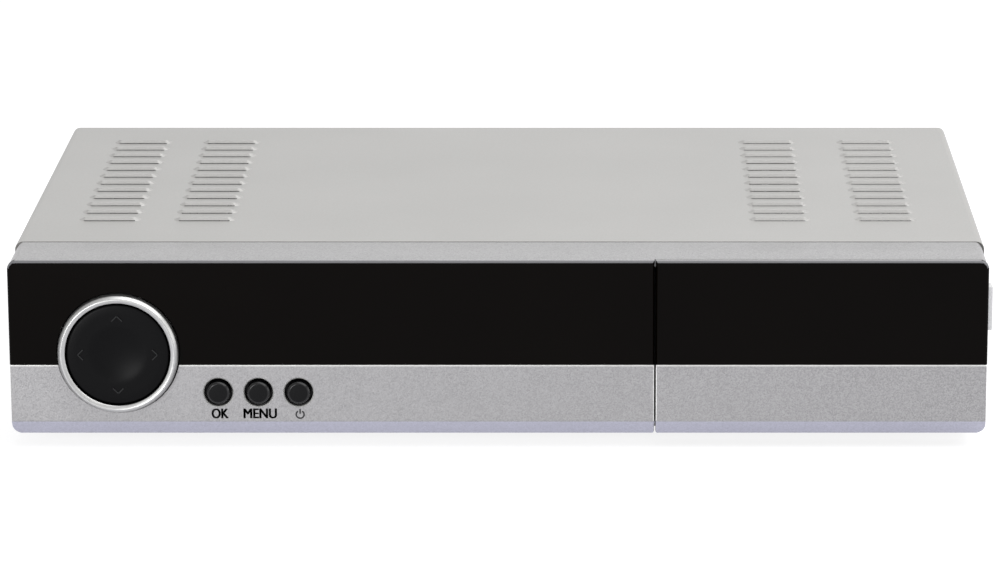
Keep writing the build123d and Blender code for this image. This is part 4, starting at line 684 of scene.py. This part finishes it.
# a shallow round dish, its soft run-out onto the flat and the rounded edge
pad_outline = [
    (r, pad_y + dish_depth * (1 - (r / dish_radius) ** 2))
    for r in (0.0, 1.2, 2.4, 3.5, 4.5, 5.3, 6.0, 6.5)
]
run_out = [(6.9, 0.155), (7.3, 0.085), (7.7, 0.04), (8.1, 0.012), (8.6, 0.0), (11.0, 0.0)]
pad_edge = [(13.0, 0.0), (13.25, 0.07), (13.47, 0.2), (13.6, 0.4), (pad_radius, 0.65)]
pad_outline += [(radius, pad_y + depth) for radius, depth in run_out + pad_edge]
pad_outline += [(pad_radius, pad_back_y), (0.0, pad_back_y)]
pad = lathe("nav_pad_moulded", pad_outline, nav, round_steps)
# behind the pad its CAD shape stays
hidden = cad_copy("nav_pad", "nav_pad_back")
edit(hidden)
bpy.ops.mesh.bisect(
    plane_co=(0, (pad_back_y - 0.02) * MM, 0), plane_no=(0, 1, 0), clear_inner=True
)
bpy.ops.object.mode_set(mode="OBJECT")

# each leg of an arrow: its width, its length and how far its middle lies beside the tip
arrow_stroke, arrow_leg, arrow_leg_x = 0.3, 2.0, 0.7
arrow_height, arrow_sink = 0.32, 0.02
arrow_radius = 9.9              # from the pad's middle


def chevron(name):
    """One raised arrow, its tip upwards: a slanted bar, cut at the middle, and its mirror image."""
    piece = start_plane(name)
    bpy.ops.transform.resize(value=(arrow_stroke * MM, arrow_leg * MM, 1.0))
    bpy.ops.transform.rotate(value=math.radians(45), orient_axis="Z", center_override=(0, 0, 0))
    bpy.ops.transform.translate(value=(arrow_leg_x * MM, 0, 0))
    bpy.ops.mesh.bisect(plane_co=(0, 0, 0), plane_no=(1, 0, 0), clear_inner=True)
    bpy.ops.mesh.select_all(action="SELECT")
    bpy.ops.mesh.duplicate_move()
    bpy.ops.transform.mirror(constraint_axis=(True, False, False), center_override=(0, 0, 0))
    tidy_mesh(0.002)
    bpy.ops.mesh.extrude_region_move(
        TRANSFORM_OT_translate={"value": (0, 0, arrow_height * MM)}
    )
    bpy.ops.mesh.select_all(action="SELECT")
    bpy.ops.mesh.normals_make_consistent(inside=False)
    close(piece)
    return piece


first_arrow = chevron("pad_arrow")
arrows = [first_arrow] + [copy_of(first_arrow, f"pad_arrow_{i}") for i in (1, 2, 3)]
for quarter, arrow in enumerate(arrows):
    turn = quarter * math.pi / 2
    arrow.rotation_euler = (math.pi / 2, turn, 0)
    across, up = nav[0] - arrow_radius * math.sin(turn), nav[1] - arrow_radius * math.cos(turn)
    arrow.location = (across * MM, (pad_y + arrow_sink) * MM, up * MM)
    apply_place(arrow)
pad = join([pad, hidden] + arrows)
close(pad, 32.0)
finish_all(pad, "key_black")
# the raised arrows are rubbed smooth
paint_faces(pad, "button_rim", lambda f: at(f).y < pad_y - 0.05)
dress(pad, "key_black", "pad", "nav_pad")

# push buttons with rounded rims
for name in button_names:
    button = cad_copy(f"{name}_button", f"{name}_button_cap")
    soften(button, 0.16, lambda p: p.y < face_y, segments=3)
    finish_all(button, "button_black")
    paint_faces(button, "button_rim", lambda f: -0.97 < f.normal.y < -0.15)
    dress(button, "key_black", f"{name}_key_body", f"{name}_button")

# ---------------------------------------------------------------- cover
# the lip of each louvre is pressed lower, along the slope of its front, and most of all in the
# five rows that one can look through to the rear vents
lip_z = top_z + 0.35
front_slope = 0.478             # a louvre's front leans back this much for each unit of height
left_drop, right_drop, shut_drop = 0.19, 0.22, 0.34
louvres_from_y = -50.0          # all of them lie behind this
see_through_x, see_through_y = (65.0, 95.0), (-9.0, 35.0)
slit_shade_top_z = lip_z - shut_drop + 0.15      # top of the painted shade along the foot of a shut louvre's front, which stands for a slit
cover_edge_z = 40.0             # the front edge is rounded above this height


def see_through(p):
    """Whether a place lies among the rows that one can look through."""
    return see_through_x[0] < p.x < see_through_x[1] and see_through_y[0] < p.y < see_through_y[1]


def shut_front(f):
    """The fronts of the louvres in those rows."""
    return f.normal.y < -0.8 and at(f).z > top_z and see_through(at(f))


cover = cad_copy("top_cover", "painted_cover")
for drop, here in (
    (left_drop, lambda p: p.x < 0),
    (shut_drop, see_through),
    (right_drop, lambda p: p.x > 0 and not see_through(p)),
):
    edit(cover)
    choose(
        cover, "verts",
        lambda v: near(v.co.z / MM, lip_z) and v.co.y / MM > louvres_from_y and here(v.co / MM),
    )
    bpy.ops.transform.translate(value=(0, -front_slope * drop * MM, -drop * MM))
    close(cover)
# in those five rows the lower edge of each front gets painted shade, standing for the shadow in the open slits of
# the others
edit(cover)
choose(cover, "faces", shut_front)
bpy.ops.mesh.bisect(plane_co=(0, 0, slit_shade_top_z * MM), plane_no=(0, 0, 1))
close(cover)
soften(cover, 0.12, lambda p: near(p.y, cover_front_y) and p.z > cover_edge_z)
finish_all(cover, "cover_paint")
# painted shade along the foot of the shut louvres' fronts
paint_faces(cover, "painted_gap_shade", lambda f: shut_front(f) and at(f).z < slit_shade_top_z)
# painted shade on the cover's front edge, in the shadow of its joint with the band
paint_faces(
    cover, "cover_edge_painted_shade", lambda f: f.normal.y < -0.9 and near(at(f).y, cover_front_y, 0.05)
)
close(cover, 12.0)
settle_normals(cover)
dress(cover, "cover_paint", "receiver", "top_cover")


# ---------------------------------------------------------------- printed marks
ink = 0.006                     # printed marks stand this far off their face, in millimetres
letter_height = 2.65
letter_base_z = base_z + 4.95
letter_widening = 0.14          # how far the strokes of the heavy face are spread
drawn_depth = 0.004             # thickness of the letters before they are fitted


def flat_text(words, name, width, left):
    """Heavy printed letters on the silver face, fitted to a box in millimetres."""
    bpy.ops.object.text_add()
    mark = bpy.context.object
    mark.name = name
    mark.data.body = words
    mark.data.size = 1.0
    mark.data.extrude = drawn_depth
    only(mark)
    bpy.ops.object.convert(target="MESH")
    edit(mark)
    bpy.ops.mesh.remove_doubles(threshold=0.0002)
    bpy.ops.object.mode_set(mode="OBJECT")
    xs = [v.co.x for v in mark.data.vertices]
    ys = [v.co.y for v in mark.data.vertices]
    across = width * MM / (max(xs) - min(xs))
    up = letter_height * MM / (max(ys) - min(ys))
    mark.scale = (across, up, ink * MM / drawn_depth)
    mark.rotation_euler = (math.pi / 2, 0, 0)
    mark.location = (
        left * MM - min(xs) * across, face_y * MM, letter_base_z * MM - min(ys) * up
    )
    apply_place(mark)
    # the letters again, a little to each side and up and down
    twins = [copy_of(mark, f"{name}_{i}") for i in range(4)]
    for twin, (side, rise) in zip(twins, ((-1, 0.4), (1, -0.4), (-1, -0.4), (1, 0.4))):
        twin.location = (side * letter_widening * MM, 0, rise * letter_widening * MM)
        apply_place(twin)
    mark = join([mark] + twins)
    finish_all(mark, "print_black")
    dress(mark, "print_black", "receiver")


# each word's width and its left end, under its button
for words, width, left in (("OK", 4.3, -76.5), ("MENU", 8.7, -68.0)):
    flat_text(words, f"print_{words.lower()}", width, left)


def stroke_ring(name, radius, stroke, sweep):
    """A flat arc: a short stroke spun about the origin, clockwise from +X."""
    arc = start_plane(name)
    bpy.ops.transform.resize(value=(stroke * MM, 1.0, 1.0))
    choose(arc, "verts", lambda v: v.co.y > 0)
    bpy.ops.mesh.delete(type="VERT")
    bpy.ops.mesh.select_all(action="SELECT")
    bpy.ops.transform.translate(value=(radius * MM, 0.5, 0))
    bpy.ops.mesh.spin(steps=40, angle=math.radians(sweep), center=(0, 0, 0), axis=(0, 0, 1))
    tidy_mesh(0.0005)
    bpy.ops.object.mode_set(mode="OBJECT")
    return arc


def stroke_bar(name, width, height):
    """A flat bar with rounded ends."""
    bar = start_plane(name)
    bpy.ops.transform.resize(value=(width * MM, height * MM, 1.0))
    bpy.ops.mesh.bevel(offset=0.3 * width * MM, segments=3, affect="VERTICES")
    bpy.ops.object.mode_set(mode="OBJECT")
    return bar


def print_at(mark, place, turn=0.0, lean=0.0, back=False):
    """Lay a flat mark on an upright face at a place in millimetres.

    Its turn is in its own plane, lean tips its face upwards and back makes it face the rear.
    """
    mark.rotation_euler = (math.radians(90 - lean), math.radians(-turn), math.pi if back else 0)
    mark.location = Vector(place) * MM
    apply_place(mark)
    return mark


# the standby mark: a ring open at the top by 64 degrees and a bar in the opening
standby_x, standby_z = -53.0, base_z + 6.0
standby_radius, standby_stroke, standby_gap = 1.05, 0.42, 64.0
standby_bar, standby_bar_rise = 1.35, 0.85
standby = join([
    print_at(
        stroke_ring("print_standby", standby_radius, standby_stroke, 360.0 - standby_gap),
        (standby_x, face_y - ink, standby_z),
        turn=90.0 - standby_gap / 2,
    ),
    print_at(
        stroke_bar("print_standby_bar", standby_stroke, standby_bar),
        (standby_x, face_y - ink, standby_z + standby_bar_rise),
    ),
])
finish_all(standby, "print_black")
dress(standby, "print_black", "receiver")

# on and off marks on the two halves of the mains rocker, which rests tipped by 8 degrees
rocker_x, rocker_y, rocker_z = joint_place("rocker_hinge")
rocker_tip = 8.0
# its face from the hinge line: how far out at the crest and at the ends, and half its height
crest, crest_end, half_height = 1.9, 3.4, 7.8
mark_height, mark_stroke = 4.0, 0.45
on_bar, off_radius = 3.0, 1.4


def on_rocker(mark, up):
    """Lay a mark on the rocker's face this far above or below its hinge line."""
    slope = (crest_end - crest) / half_height
    out = crest + slope * abs(up) + ink
    tip = math.radians(rocker_tip)
    place = (
        rocker_x,
        rocker_y + out * math.cos(tip) - up * math.sin(tip),
        rocker_z + out * math.sin(tip) + up * math.cos(tip),
    )
    face = math.degrees(math.atan(slope))
    print_at(mark, place, lean=rocker_tip - math.copysign(face, up), back=True)
    finish_all(mark, "print_white")
    dress(mark, "print_white", "rocker")


on_rocker(stroke_bar("print_switch_on", mark_stroke, on_bar), mark_height)
on_rocker(stroke_ring("print_switch_off", off_radius, mark_stroke, 360.0), -mark_height)

# ---------------------------------------------------------------- threaded connectors
mounts = {mount["name"]: Vector(mount["pos_m"]) / MM for mount in frame["record"]["mounts"]}
coax = (mounts["lnb_input"].x, mounts["lnb_input"].z)
coax_pitch = mounts["loop_output"].x - mounts["lnb_input"].x
thread_y = corners("f_nuts")[1].y + 0.3
tip_y = corners("f_connectors")[1].y
thread_pitch, thread_turns = 0.79, 9
crest_radius, root_radius = 4.76, 4.38
pin_bore, well_radius = 1.2, 3.25
first_turn_y = tip_y - 0.35
# one turn from crest to crest: radius and distance from its start
thread_turn = [
    (crest_radius, 0.0), (crest_radius, 0.12), (root_radius, 0.35), (root_radius, 0.47),
    (crest_radius, 0.7),
]
barrel_outline = [
    (pin_bore, thread_y), (pin_bore, tip_y - 0.5), (well_radius, tip_y - 0.5),
    (well_radius, tip_y - 0.06), (well_radius + 0.06, tip_y), (root_radius, tip_y),
]
barrel_outline += [
    (radius, first_turn_y - turn * thread_pitch - back)
    for turn in range(thread_turns)
    for radius, back in thread_turn
]
barrel_outline += [
    (root_radius + 0.1, first_turn_y - thread_turns * thread_pitch),
    (root_radius + 0.1, thread_y),
    (pin_bore, thread_y),
]
barrel = lathe("lnb_threads", barrel_outline, coax, steps=72)
finish_all(barrel, "nickel_brass")
# the insulator is seen at the end, inside the metal rim
paint_faces(
    barrel, "header_white", lambda f: f.normal.y > 0.9 and from_axis(at(f), coax) < well_radius
)
close(barrel, 25.0)
second_barrel = copy_of(barrel, "lnb_threads_out")
second_barrel.location = (coax_pitch * MM, 0, 0)
apply_place(second_barrel)
# behind the threads their CAD shape stays
shanks = cad_copy("f_connectors", "lnb_shanks")
edit(shanks)
bpy.ops.mesh.bisect(plane_co=(0, thread_y * MM, 0), plane_no=(0, 1, 0), clear_outer=True)
close(shanks)
finish_all(shanks, "nickel_brass")
dress(join([barrel, second_barrel, shanks]), "nickel_brass", "receiver", "f_connectors")


# ---------------------------------------------------------------- floor, light and camera
def maths(tree, operation, *sources):
    """One step of arithmetic in a shader; each source is a number or a socket."""
    numbers = {i: source for i, source in enumerate(sources) if isinstance(source, float)}
    links = {i: source for i, source in enumerate(sources) if i not in numbers}
    return add(tree, "Math", {"operation": operation, **numbers}, links).outputs[0]


# the floor has no glow in a rectangle under the case, so that none shows through its vents
unlit_half_x, unlit_half_y, unlit_centre_y = 0.118, 0.066, 0.002
seen_glow, mirrored_glow = 0.82, 0.9


def floor_finish():
    """Matt white studio card: seen as white, and it keeps the object's soft shadow."""
    made, tree, shader, place = begin(
        "white_studio_card", Roughness=0.9, IOR=1.4, Specular_IOR_Level=0.1
    )
    colour(tree, shader, noise(tree, place, 2.0, 3.0), "9d9d9e", "a1a1a2")
    spot = add(tree, "SeparateXYZ", None, {0: place}).outputs
    across = maths(tree, "ABSOLUTE", spot["X"])
    along = maths(tree, "ABSOLUTE", maths(tree, "SUBTRACT", spot["Y"], unlit_centre_y))
    beside = maths(tree, "GREATER_THAN", across, unlit_half_x)
    beyond = maths(tree, "GREATER_THAN", along, unlit_half_y)
    open_floor = maths(tree, "MAXIMUM", beside, beyond)
    ray = add(tree, "LightPath").outputs
    seen = maths(tree, "MAXIMUM", ray["Is Camera Ray"], ray["Is Transmission Ray"])
    direct = maths(tree, "MULTIPLY", seen, seen_glow)
    mirrored = maths(tree, "MULTIPLY", ray["Is Glossy Ray"], mirrored_glow)
    strength = maths(tree, "MULTIPLY", maths(tree, "ADD", direct, mirrored), open_floor)
    # the card mirrors a little bluer than it is seen
    cast = add(
        tree, "Mix", {"data_type": "RGBA", 6: linear("ffffff"), 7: linear("fafaff")},
        {0: ray["Is Glossy Ray"]},
    )
    glow = add(tree, "Emission", None, {"Strength": strength, "Color": cast.outputs[2]})
    both = add(tree, "AddShader", None, {0: shader.outputs[0], 1: glow.outputs[0]})
    output = next(n for n in tree.nodes if n.type == "OUTPUT_MATERIAL")
    tree.links.new(both.outputs[0], output.inputs["Surface"])
    return made


bpy.ops.mesh.primitive_plane_add(size=6.0, location=(0, 0, 0))
floor = bpy.context.object
floor.name = "studio_floor"
floor.data.materials.append(floor_finish())

# the tent is seen and mirrored as pure white, and lights the object more weakly
ambient = 0.38
world = bpy.data.worlds.new("studio_tent")
bpy.context.scene.world = world
world.use_nodes = True
sky = world.node_tree
sky.nodes.clear()
ray = add(sky, "LightPath").outputs
direct = maths(sky, "MAXIMUM", ray["Is Camera Ray"], ray["Is Glossy Ray"])
white = maths(sky, "MAXIMUM", direct, ray["Is Transmission Ray"])
strength = maths(sky, "MULTIPLY_ADD", white, 1.0 - ambient, ambient)
tent = add(sky, "Background", {"Color": linear("ffffff")}, {"Strength": strength})
add(sky, "OutputWorld", None, {"Surface": tent.outputs[0]})


def lamp(name, place, target, size, power):
    """A square soft light at a place, turned to a target; lengths in metres, power in watts."""
    data = bpy.data.lights.new(name, "AREA")
    data.shape = "SQUARE"
    data.size = size
    data.energy = power
    made = bpy.data.objects.new(name, data)
    bpy.context.scene.collection.objects.link(made)
    made.location = place
    made.rotation_euler = (Vector(target) - Vector(place)).to_track_quat("-Z", "Y").to_euler()


lamp("top_softbox", (0.36, -0.1, 0.85), (0.03, 0, 0), 1.1, 10.5)
lamp("side_softbox", (1.15, -0.35, 0.16), (-0.1, -0.09, 0.03), 0.6, 2.4)
lamp("front_softbox", (-0.62, -1.15, 0.22), (0, 0, 0), 0.5, 8.0)

# the camera looks 14 degrees down, from 1.2 m in front
camera_x, camera_y, camera_z = 24.9, -1287.8, 345.8
camera_tilt = 14.0
focal_length, sensor_width, sideways_shift = 167.94, 36.0, -0.092
camera_data = bpy.data.cameras.new("studio_camera")
camera_data.lens = focal_length
camera_data.sensor_width = sensor_width
camera_data.shift_x = sideways_shift
camera_data.clip_end = 20.0
camera = bpy.data.objects.new("studio_camera", camera_data)
bpy.context.scene.collection.objects.link(camera)
camera.location = (camera_x * MM, camera_y * MM, camera_z * MM)
camera.rotation_euler = (math.radians(90.0 - camera_tilt), 0, 0)
bpy.context.scene.camera = camera
bpy.context.scene.view_settings.view_transform = "Standard"
